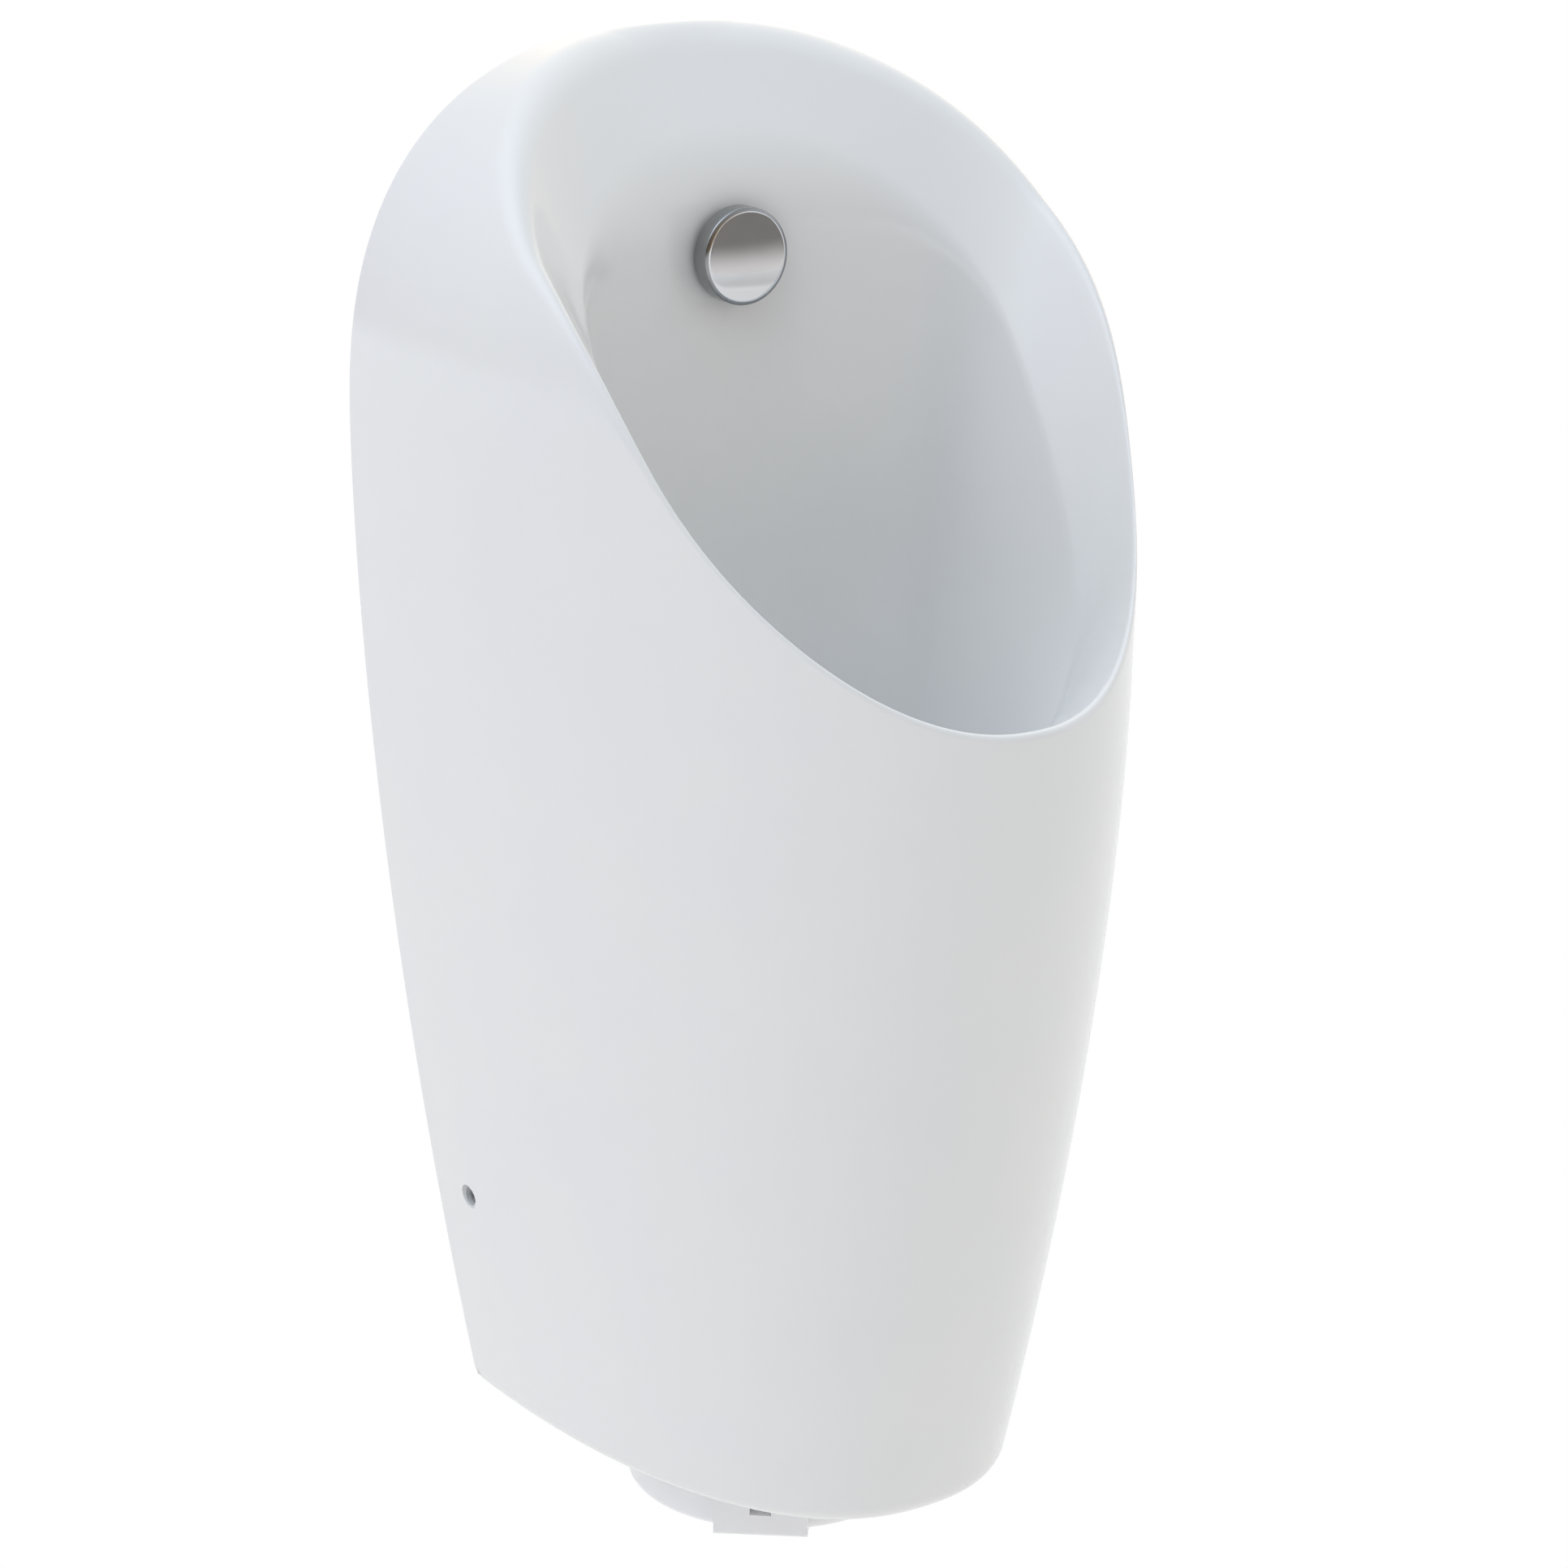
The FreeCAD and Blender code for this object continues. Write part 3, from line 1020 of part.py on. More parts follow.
def trap_insert():
    """Dip tube that hangs in the trap by its flange."""
    inner = INSERT_RADIUS - INSERT_WALL
    flange = HORN_RADIUS - 1
    horn_bottom = OUTLET_HEIGHT - CHINA_WALL - HORN_LENGTH
    top = min(TRAP_TOP + INSERT_FLANGE, horn_bottom - ARMATURE_CLEARANCE)
    return turned([(inner, INSERT_BOTTOM), (INSERT_RADIUS, INSERT_BOTTOM), (INSERT_RADIUS, TRAP_TOP),
                   (flange, TRAP_TOP), (flange, top), (inner, top)], trap_axis(0), UP)


def waste_pipe():
    """Waste pipe from the trap's socket back through the wall."""
    tube = pipe(Vector(0, -WASTE_START_DEPTH, WASTE_HEIGHT), TO_WALL, WASTE_RADIUS, WASTE_RADIUS - WASTE_WALL,
                WASTE_START_DEPTH + WASTE_BEHIND_WALL)
    groove = pipe(Vector(0, 0, WASTE_HEIGHT), TO_WALL, WASTE_RADIUS + 1, WASTE_GROOVE_RADIUS, WASTE_GROOVE_WIDTH)
    return tube.cut(groove)


def waste_seal():
    """Rubber ring between the waste pipe and the trap's socket."""
    return pipe(Vector(0, -WASTE_START_DEPTH + WASTE_SEAL_START, WASTE_HEIGHT), TO_WALL,
                WASTE_RADIUS + SEAL_THICKNESS, WASTE_RADIUS, WASTE_SEAL_LENGTH)


def wall_sleeve():
    """Rubber sleeve round the waste pipe at the wall."""
    return pipe(Vector(0, -SLEEVE_LENGTH, WASTE_HEIGHT), TO_WALL, SLEEVE_RADIUS, WASTE_RADIUS, SLEEVE_LENGTH)


# ================================================================ the bottom cover
def bottom_cover():
    """White cap under the bowl: skirt, plug with bayonet lugs and a boss with a key slot."""
    plug_inner = COVER_PLUG_RADIUS - COVER_WALL
    floor = COVER_BOTTOM + COVER_WALL
    groove = ring_inner() - ARMATURE_CLEARANCE
    ring_half = RING_SECTION / 2 + ARMATURE_CLEARANCE
    cap = turned([(0, COVER_BOTTOM), (COVER_RADIUS, COVER_BOTTOM), (COVER_RADIUS, COVER_SKIRT_TOP),
                  (COVER_RADIUS - COVER_WALL / 2, COVER_SKIRT_TOP), (COVER_RADIUS - COVER_WALL / 2, BOSS_TOP - COVER_STEP),
                  (COVER_RADIUS - COVER_WALL, BOSS_TOP - COVER_STEP),
                  (COVER_RADIUS - COVER_WALL, floor), (COVER_PLUG_RADIUS, floor),
                  (COVER_PLUG_RADIUS, RING_HEIGHT - ring_half), (groove, RING_HEIGHT - ring_half),
                  (groove, RING_HEIGHT + ring_half), (COVER_PLUG_RADIUS, RING_HEIGHT + ring_half),
                  (COVER_PLUG_RADIUS, COVER_PLUG_TOP), (plug_inner, COVER_PLUG_TOP), (plug_inner, floor),
                  (0, floor)], trap_axis(0), UP)
    lower = [e for e in cap.Edges if e.BoundBox.ZMax < COVER_BOTTOM + 1e-3 and e.Length > COVER_RADIUS]
    cap = cap.makeFillet(COVER_ROUND, lower)
    boss = block(-BOSS_WIDTH / 2, BOSS_WIDTH / 2, OUTLET_DEPTH + COVER_PLUG_RADIUS, OUTLET_DEPTH + BOSS_REACH,
                 COVER_BOTTOM, BOSS_TOP)
    front = [e for e in boss.Edges if e.BoundBox.YMax < -OUTLET_DEPTH - BOSS_REACH + 1e-3 and e.BoundBox.ZMax < BOSS_TOP]
    boss = boss.makeFillet(COVER_ROUND / 2, front)
    boss = boss.cut(rod(trap_axis(COVER_BOTTOM), UP, COVER_RADIUS - COVER_WALL / 2, BOSS_TOP - COVER_BOTTOM))
    slot = block(-KEY_SLOT_WIDTH / 2, KEY_SLOT_WIDTH / 2, OUTLET_DEPTH + BOSS_REACH - KEY_SLOT_DEPTH,
                 OUTLET_DEPTH + BOSS_REACH + 1, KEY_SLOT_HEIGHT - KEY_SLOT_TALL / 2, KEY_SLOT_HEIGHT + KEY_SLOT_TALL / 2)
    for shape in (boss, slot):
        shape.rotate(trap_axis(0), UP, -BOSS_ANGLE)
    lugs = [bayonet_arc(360 / LUG_COUNT * k, BAYONET_SPREAD, plug_inner + 1, COVER_PLUG_RADIUS + BAYONET_REACH,
                        BAYONET_HEIGHT, BAYONET_HEIGHT + BAYONET_TALL) for k in range(LUG_COUNT)]
    return joined([cap, boss] + lugs).cut(slot)


def ring_inner():
    """Inner radius of the cover's sealing ring."""
    return TRAP_COLLAR_BORE - RUNNING_GAP - RING_SECTION


def cover_ring():
    """Sealing ring in the plug's groove, of a square section with bevelled outer corners."""
    outer, half = ring_inner() + RING_SECTION, RING_SECTION / 2
    return turned([(ring_inner(), -half), (outer - half, -half), (outer, -half / 2), (outer, half / 2),
                   (outer - half, half), (ring_inner(), half)], trap_axis(RING_HEIGHT), UP)


NODES = {
    "ceramic_body": ceramic_body,
    "wall_plate": wall_plate,
    "hanger_pads": hanger_pads,
    "side_brackets": side_brackets,
    "side_sleeves": side_sleeves,
    "side_screws": side_screws,
    "spray_seal": spray_seal,
    "spray_body": spray_body,
    "spray_cap": spray_cap,
    "spray_washer": spray_washer,
    "spray_nut": spray_nut,
    "spray_elbow": spray_elbow,
    "flush_pipe": flush_pipe,
    "pipe_nuts": pipe_nuts,
    "valve_body": valve_body,
    "valve_coil": valve_coil,
    "armature": armature,
    "armature_tip": armature_tip,
    "valve_spring": valve_spring,
    "valve_clamp": valve_clamp,
    "stop_valve_body": stop_valve_body,
    "stop_ball": stop_ball,
    "stop_spindle": stop_spindle,
    "stop_lever": stop_lever,
    "lever_screw": lever_screw,
    "inlet_nut": inlet_nut,
    "inlet_filter": inlet_filter,
    "control_base": control_base,
    "control_lid": control_lid,
    "circuit_board": circuit_board,
    "battery_pack": battery_pack,
    "sensor_module": sensor_module,
    "trap_housing": trap_housing,
    "outlet_seal": outlet_seal,
    "trap_insert": trap_insert,
    "waste_pipe": waste_pipe,
    "waste_seal": waste_seal,
    "wall_sleeve": wall_sleeve,
    "bottom_cover": bottom_cover,
    "cover_ring": cover_ring,
}

os.makedirs("parts", exist_ok=True)
for node_name, make in NODES.items():
    save(node_name, make())
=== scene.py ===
"""The wall hung urinal as it looks: a glazed china body with its chrome spray head, cover and fittings.

Heights in the classes are measured from the foot of the china and depths from the wall, in
millimetres, as in the part's own source. The frame's origin lies between the wall fixings.
"""

import logging
import math
from dataclasses import dataclass, field
from enum import Enum
from typing import Any, Callable, Sequence

import bmesh
import bpy
import numpy as np
from mathutils import Matrix, Vector

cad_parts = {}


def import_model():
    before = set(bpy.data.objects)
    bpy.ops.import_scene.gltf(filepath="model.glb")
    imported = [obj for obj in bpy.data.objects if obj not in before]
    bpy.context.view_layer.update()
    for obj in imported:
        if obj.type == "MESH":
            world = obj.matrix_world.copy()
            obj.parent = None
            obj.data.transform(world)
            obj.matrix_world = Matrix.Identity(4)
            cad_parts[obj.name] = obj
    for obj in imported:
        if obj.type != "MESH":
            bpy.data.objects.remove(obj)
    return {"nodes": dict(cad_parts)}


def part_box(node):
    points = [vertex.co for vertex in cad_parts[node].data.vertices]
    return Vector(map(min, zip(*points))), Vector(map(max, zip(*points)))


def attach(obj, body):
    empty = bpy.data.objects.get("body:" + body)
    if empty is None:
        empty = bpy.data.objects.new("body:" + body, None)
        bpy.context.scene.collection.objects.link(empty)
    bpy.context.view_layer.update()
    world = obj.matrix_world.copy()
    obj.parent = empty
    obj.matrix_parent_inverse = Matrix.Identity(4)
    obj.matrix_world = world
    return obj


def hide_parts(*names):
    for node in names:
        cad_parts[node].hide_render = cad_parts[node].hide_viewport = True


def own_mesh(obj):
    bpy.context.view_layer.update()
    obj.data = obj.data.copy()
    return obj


Array = np.ndarray
Socket = bpy.types.NodeSocket

DATUM_HEIGHT = 515.0  # of the wall fixings over the china's foot, in millimetres
MM_PER_METRE = 1000.0
QUARTER_TURN = math.pi / 2
FULL_TURN = 2.0 * math.pi
MERGE_DISTANCE = 2e-6  # in metres: nearer points become one
SLIVER_EDGE = 1e-7  # in metres: shorter edges are dropped
CREASE_DEG = 40.0  # an edge that turns by more stays sharp
MIX_SHARE, MIX_FIRST, MIX_SECOND, MIX_RESULT = 0, 6, 7, 2  # sockets of a Mix node set to colours
log = logging.getLogger("urinal")


# -------- units, colours and nodes
def metres(points: Array) -> Array:
    """Turns points in millimetres from the foot into metres in the frame.

    Args:
        points: an array whose last axis is x, y, z.

    Returns:
        The same points in metres, with the origin between the wall fixings.
    """
    return (np.asarray(points, float) - (0.0, 0.0, DATUM_HEIGHT)) / MM_PER_METRE


def linear(code: str) -> tuple[float, float, float, float]:
    """Turns an sRGB hex colour into a linear one.

    Args:
        code: a colour such as "#f2f1ee".

    Returns:
        Red, green, blue and alpha.
    """
    parts = [int(code[k:k + 2], 16) / 255.0 for k in (1, 3, 5)]
    red, green, blue = (c / 12.92 if c <= 0.04045 else ((c + 0.055) / 1.055) ** 2.4 for c in parts)
    return red, green, blue, 1.0


def add_node(tree: bpy.types.NodeTree, kind: str, inputs: dict[Any, Any] | None = None,
             **settings: Any) -> bpy.types.Node:
    """Adds a node with its settings, constants and links.

    Args:
        tree: the node tree.
        kind: the node's type name.
        inputs: values or sockets by input name or number.
        settings: the node's own properties.

    Returns:
        The new node.
    """
    node = tree.nodes.new(kind)
    for name, value in settings.items():
        setattr(node, name, value)
    for name, value in (inputs or {}).items():
        if isinstance(value, Socket):
            tree.links.new(value, node.inputs[name])
        else:
            node.inputs[name].default_value = value
    return node


def empty_tree(owner: bpy.types.Material | bpy.types.World) -> bpy.types.NodeTree:
    """Gives a material or a world an empty node tree.

    Args:
        owner: the material or the world.

    Returns:
        Its node tree.
    """
    owner.use_nodes = True
    owner.node_tree.nodes.clear()
    return owner.node_tree


def placed(name: str, data: bpy.types.ID) -> bpy.types.Object:
    """Puts a mesh or a camera in the scene, with its object at the origin.

    Args:
        name: the object's name.
        data: the mesh or the camera.

    Returns:
        The new object.
    """
    thing = bpy.data.objects.new(name, data)
    bpy.context.scene.collection.objects.link(thing)
    return thing


# -------- finishes
@dataclass(frozen=True)
class Finish:
    """A surface's finish: its colour, gloss and the unevenness its making leaves."""

    name: str
    colour: str
    shade: str
    roughness: float
    metallic: float = 0.0
    ior: float = 1.5
    grain_mm: float = 1.0
    patch_grains: float = 24.0  # size of the broad patches of colour, in grains
    grain_height: float = 0.25  # of the relief, in grains
    stretch: tuple[float, float, float] = (1.0, 1.0, 1.0)
    relief: float = 0.05
    smear: float = 0.06  # how far the roughness wanders

    def build(self) -> bpy.types.Material:
        """Makes the finish's material, once.

        Returns:
            The material.
        """
        if self.name in bpy.data.materials:
            return bpy.data.materials[self.name]
        material = bpy.data.materials.new(self.name)
        tree = empty_tree(material)
        place = add_node(tree, "ShaderNodeTexCoord")
        mapping = add_node(tree, "ShaderNodeMapping", {
            "Vector": place.outputs["Object"], "Scale": self.stretch})
        share, roughness, normal = self.surface(tree, mapping.outputs["Vector"])
        tint = add_node(tree, "ShaderNodeMix", {
            MIX_SHARE: share, MIX_FIRST: linear(self.colour), MIX_SECOND: linear(self.shade)},
            data_type="RGBA")
        shader = add_node(tree, "ShaderNodeBsdfPrincipled", {
            "Metallic": self.metallic, "IOR": self.ior, "Base Color": tint.outputs[MIX_RESULT],
            "Roughness": roughness, "Normal": normal})
        add_node(tree, "ShaderNodeOutputMaterial", {"Surface": shader.outputs["BSDF"]})
        return material

    def surface(self, tree: bpy.types.NodeTree, place: Socket) -> tuple[Socket, Socket, Socket]:
        """Makes what is uneven: the patches of colour, the wandering roughness and the grain.

        Args:
            tree: the material's node tree.
            place: the coordinates to use, in metres.

        Returns:
            The sockets of the shade's share, the roughness and the normal.
        """
        broad = add_node(tree, "ShaderNodeTexNoise", {
            "Vector": place, "Scale": MM_PER_METRE / (self.patch_grains * self.grain_mm), "Detail": 2.0})
        fine = add_node(tree, "ShaderNodeTexNoise", {
            "Vector": place, "Scale": MM_PER_METRE / self.grain_mm, "Detail": 3.0, "Roughness": 0.6})
        rough = add_node(tree, "ShaderNodeMapRange", {
            "Value": fine.outputs["Fac"], "To Min": max(0.0, self.roughness - self.smear),
            "To Max": self.roughness + self.smear})
        bump = add_node(tree, "ShaderNodeBump", {
            "Height": fine.outputs["Fac"], "Strength": self.relief,
            "Distance": self.grain_height * self.grain_mm / MM_PER_METRE})
        return broad.outputs["Fac"], rough.outputs["Result"], bump.outputs["Normal"]


@dataclass(frozen=True)
class Glaze(Finish):
    """Fired glaze: a clear gloss over white slip, with slow waves where it ran and a few faint pinholes."""

    wave_mm: float = 55.0
    wave_height_mm: float = 0.8
    pinhole_gap_mm: float = 12.0
    pinhole_edge: tuple[float, float] = (0.02, 0.05)  # where it starts and ends, in gaps from its middle
    pinhole_depth_mm: float = 0.1
    pinhole_relief: float = 0.03

    def surface(self, tree: bpy.types.NodeTree, place: Socket) -> tuple[Socket, Socket, Socket]:
        """Makes the slip's slow tint, the glaze's waves and its pinholes; see Finish.surface."""
        slow = add_node(tree, "ShaderNodeTexNoise", {
            "Vector": place, "Scale": MM_PER_METRE / self.wave_mm, "Detail": 1.0})
        spots = add_node(tree, "ShaderNodeTexVoronoi", {
            "Vector": place, "Scale": MM_PER_METRE / self.pinhole_gap_mm})
        holes = add_node(tree, "ShaderNodeMapRange", {
            "Value": spots.outputs["Distance"], "From Min": self.pinhole_edge[0],
            "From Max": self.pinhole_edge[1]})
        wave = add_node(tree, "ShaderNodeBump", {
            "Height": slow.outputs["Fac"], "Strength": self.relief,
            "Distance": self.wave_height_mm / MM_PER_METRE})
        pit = add_node(tree, "ShaderNodeBump", {
            "Height": holes.outputs["Result"], "Strength": self.pinhole_relief,
            "Distance": self.pinhole_depth_mm / MM_PER_METRE, "Normal": wave.outputs["Normal"]})
        rough = add_node(tree, "ShaderNodeMapRange", {
            "Value": slow.outputs["Fac"], "To Min": self.roughness, "To Max": self.roughness + self.smear})
        return slow.outputs["Fac"], rough.outputs["Result"], pit.outputs["Normal"]


class Kind(Enum):
    """The finishes of this urinal's pieces."""

    # vitreous china, slip cast and glazed: a hard white gloss, hardly uneven
    CHINA = Glaze("vitreous_china_white_glaze", "#f2f2f0", "#efeff0", 0.12, relief=0.05, smear=0.04)
    # electroplated chrome, polished: a bright mirror, a touch uneven
    CHROME = Finish("polished_chrome", "#dfe0e2", "#d6d8db", 0.045, metallic=1.0, grain_mm=0.8, relief=0.01,
                    smear=0.015)
    # the spray head's turned edge, plated but left satin: greyer and softer than its face
    SATIN_CHROME = Finish("satin_chrome", "#a3a4a5", "#939496", 0.2, metallic=1.0, grain_mm=0.5,
                          stretch=(1.0, 6.0, 1.0), relief=0.04)
    # cast and machined brass: yellow, with fine turning marks
    BRASS = Finish("machined_brass", "#c9a45c", "#b78f4a", 0.28, metallic=1.0, grain_mm=0.5,
                   stretch=(1.0, 1.0, 6.0), relief=0.12)
    # drawn copper tube: red and satin, streaked along its length
    COPPER = Finish("drawn_copper", "#c98561", "#b26f4c", 0.25, metallic=1.0, grain_mm=0.6,
                    stretch=(6.0, 6.0, 0.6), relief=0.08)
    # zinc plated sheet steel: blue grey with a cloudy bloom
    ZINC = Finish("zinc_plated_steel", "#868c92", "#636a72", 0.36, metallic=1.0, grain_mm=1.2, relief=0.05,
                  smear=0.1)
    # turned stainless steel: neutral, finely ringed
    STAINLESS = Finish("turned_stainless_steel", "#c4c4c2", "#aeafae", 0.24, metallic=1.0, grain_mm=0.4,
                       stretch=(8.0, 1.0, 1.0), relief=0.08)
    # moulded white ABS: brighter and softer than the glaze, faintly pebbled
    WHITE_ABS = Finish("moulded_white_abs", "#fafafb", "#f4f4f6", 0.24, ior=1.46, grain_mm=0.9, relief=0.04,
                       smear=0.05)
    # moulded grey polypropylene: waxy and matt
    GREY_PP = Finish("moulded_grey_polypropylene", "#77797c", "#6c6e71", 0.45, ior=1.49, grain_mm=0.8,
                     relief=0.15)
    # moulded pale grey polypropylene, for the sleeves of the side holes: as waxy, but nearly white
    PALE_PP = Finish("moulded_pale_grey_polypropylene", "#dcdddf", "#d2d3d6", 0.4, ior=1.49, grain_mm=0.8,
                     relief=0.1)
    # moulded black nylon: dark with a spark eroded texture
    BLACK_PA = Finish("moulded_black_nylon", "#202124", "#17181a", 0.5, ior=1.53, grain_mm=0.5, relief=0.3)
    # moulded rubber: black and dry
    RUBBER = Finish("moulded_black_rubber", "#1b1b1c", "#141415", 0.7, ior=1.52, grain_mm=0.6, relief=0.3)
    # glass fibre board under green solder mask
    BOARD = Finish("green_solder_mask", "#1d5a36", "#17492c", 0.3, grain_mm=0.5, relief=0.1)


NODE_FINISHES: dict[Kind, tuple[str, ...]] = {
    Kind.ZINC: ("wall_plate",),
    Kind.RUBBER: ("hanger_pads", "spray_seal", "spray_washer", "armature_tip", "outlet_seal", "waste_seal",
                  "wall_sleeve", "cover_ring"),
    Kind.GREY_PP: ("side_brackets", "valve_clamp", "waste_pipe"),
    Kind.PALE_PP: ("side_sleeves",),
    Kind.STAINLESS: ("side_screws", "armature", "valve_spring", "stop_spindle", "stop_lever", "lever_screw",
                     "inlet_filter"),
    Kind.BRASS: ("spray_body", "spray_nut", "spray_elbow", "pipe_nuts", "valve_body", "stop_valve_body",
                 "inlet_nut"),
    Kind.COPPER: ("flush_pipe",),
    Kind.CHROME: ("stop_ball",),
    Kind.BLACK_PA: ("valve_coil", "control_base", "control_lid", "battery_pack", "sensor_module"),
    Kind.BOARD: ("circuit_board",),
    Kind.WHITE_ABS: ("trap_housing", "trap_insert", "bottom_cover"),
}


# -------- meshes
def object_of(name: str, mesh: bpy.types.Mesh, finish: Kind) -> bpy.types.Object:
    """Puts a mesh in the scene with a finish.

    Args:
        name: the piece's name.
        mesh: its mesh, in the frame's metres.
        finish: its finish.

    Returns:
        The new object.
    """
    mesh.materials.clear()
    mesh.materials.append(finish.value.build())
    return placed(name, mesh)


def mesh_of_grids(name: str, grids: Sequence[Array], crease_deg: float = CREASE_DEG) -> bpy.types.Mesh:
    """Joins grids of points into one closed mesh.

    Args:
        name: the mesh's name.
        grids: arrays of rows by columns by x, y, z, in millimetres. Edges that meet are merged.
        crease_deg: the angle above which an edge stays sharp.

    Returns:
        The mesh, with its faces outward.
    """
    points, faces, start = [], [], 0
    for grid in grids:
        rows, columns = grid.shape[:2]
        points.append(metres(grid).reshape(-1, 3))
        corner = start + np.arange(rows * columns).reshape(rows, columns)
        quads = np.stack([corner[:-1, :-1], corner[1:, :-1], corner[1:, 1:], corner[:-1, 1:]], axis=-1)
        faces.extend(quads.reshape(-1, 4).tolist())
        start += rows * columns
    mesh = bpy.data.meshes.new(name)
    mesh.from_pydata(np.concatenate(points).tolist(), [], faces)
    tidy = bmesh.new()
    tidy.from_mesh(mesh)
    bmesh.ops.remove_doubles(tidy, verts=tidy.verts, dist=MERGE_DISTANCE)
    bmesh.ops.dissolve_degenerate(tidy, edges=tidy.edges, dist=SLIVER_EDGE)
    bmesh.ops.recalc_face_normals(tidy, faces=tidy.faces)
    tidy.to_mesh(mesh)
    tidy.free()
    mesh.shade_smooth()
    mesh.set_sharp_from_angle(angle=math.radians(crease_deg))
    return mesh


def around(profile: Sequence[tuple[float, float]], centre: Sequence[float], axis: Sequence[float],
           segments: int) -> Array:
    """Turns a profile about an axis.

    Args:
        profile: (radius, distance along the axis) pairs, in millimetres.
        centre: a point of the axis, where the distance is 0.
        axis: the axis's direction.
        segments: the number of steps round.

    Returns:
        A closed grid of points.
    """
    turn = Vector((0, 0, 1)).rotation_difference(Vector(axis)).to_matrix()
    angles = np.linspace(0.0, FULL_TURN, segments + 1)
    rows = [[(r * math.cos(a), r * math.sin(a), h) for r, h in profile] for a in angles]
    return np.asarray(rows) @ np.asarray(turn).T + np.asarray(centre)


def rounded(profile: Sequence[tuple[float, float]], radius: float, steps: int = 5,
            most: float = 0.49) -> list[tuple[float, float]]:
    """Rounds the inner corners of an open profile.

    Args:
        profile: (radius, distance) pairs.
        radius: how far from each corner its rounding starts, in millimetres.
        steps: points of each rounding, less one.
        most: the largest share of a side that one rounding takes.

    Returns:
        The rounded profile.
    """
    points = [np.asarray(p, float) for p in profile]
    line = [points[0]]
    for before, corner, after in zip(points, points[1:], points[2:]):
        back, on = before - corner, after - corner
        start = corner + back * min(radius / np.linalg.norm(back), most)
        end = corner + on * min(radius / np.linalg.norm(on), most)
        for share in np.linspace(0.0, 1.0, steps + 1):
            line.append(start * (1 - share) ** 2 + corner * 2 * share * (1 - share) + end * share ** 2)
    return [tuple(p) for p in line + [points[-1]]]


def carve(piece: bpy.types.Object, cutter: bpy.types.Mesh, operation: str = "DIFFERENCE") -> None:
    """Cuts a closed mesh out of a piece, or joins it on.

    Args:
        piece: the piece to change.
        cutter: the closed mesh to take away or to add.
        operation: DIFFERENCE or UNION.
    """
    tool = placed("cutter", cutter)
    cut = piece.modifiers.new("cut", "BOOLEAN")
    cut.operation = operation
    cut.solver = "EXACT"
    cut.object = tool
    materials = list(piece.data.materials)
    piece.data = bpy.data.meshes.new_from_object(piece.evaluated_get(bpy.context.evaluated_depsgraph_get()))
    piece.modifiers.clear()
    piece.data.materials.clear()
    for material in materials:
        piece.data.materials.append(material)
    bpy.data.objects.remove(tool)
    piece.data.set_sharp_from_angle(angle=math.radians(CREASE_DEG))


# -------- the china
def superellipse(angle: Array, power: Any) -> tuple[Array, Array]:
    """Sine and cosine moved onto a superellipse.

    Args:
        angle: angles in radians.
        power: the superellipse's power.

    Returns:
        The two coordinates.
    """
    sine, cosine = np.sin(angle), np.cos(angle)
    scale = (np.abs(sine) ** power + np.abs(cosine) ** power) ** (-1.0 / power)
    return sine * scale, cosine * scale


def onset(angle: Array, span: float = 0.5) -> Array:
    """0 over the widest place of the mouth and 1 well below it, with a soft start.

    Args:
        angle: angles from the mouth's top, in radians.
        span: how far below the widest place the lower form is whole, as a cosine.

    Returns:
        The share of the lower form.
    """
    low = np.clip(-np.cos(angle) / span, 0.0, 1.0)
    return low * low * (3.0 - 2.0 * low)


def stacked(x: Any, y: Any, z: Any) -> Array:
    """Points from their coordinates."""
    return np.stack(np.broadcast_arrays(x, y, z), axis=-1).astype(float)


def corner_curve(start: Array, corner: Array, end: Array, steps: int, pull: float = 0.75) -> Array:
    """A round turn from one line onto another.

    Args:
        start: where it leaves the first line, one point for each station.
        corner: where the lines meet.
        end: where it joins the second line.
        steps: the number of spans.
        pull: the corner's weight.

    Returns:
        Points, with the stations first and the steps second.
    """
    share = np.linspace(0.0, 1.0, steps + 1)[None, :, None]
    parts = (1 - share) ** 2, 2 * pull * share * (1 - share), share ** 2
    total = sum(parts)
    return (start[:, None] * parts[0] + corner[:, None] * parts[1] + end[:, None] * parts[2]) / total


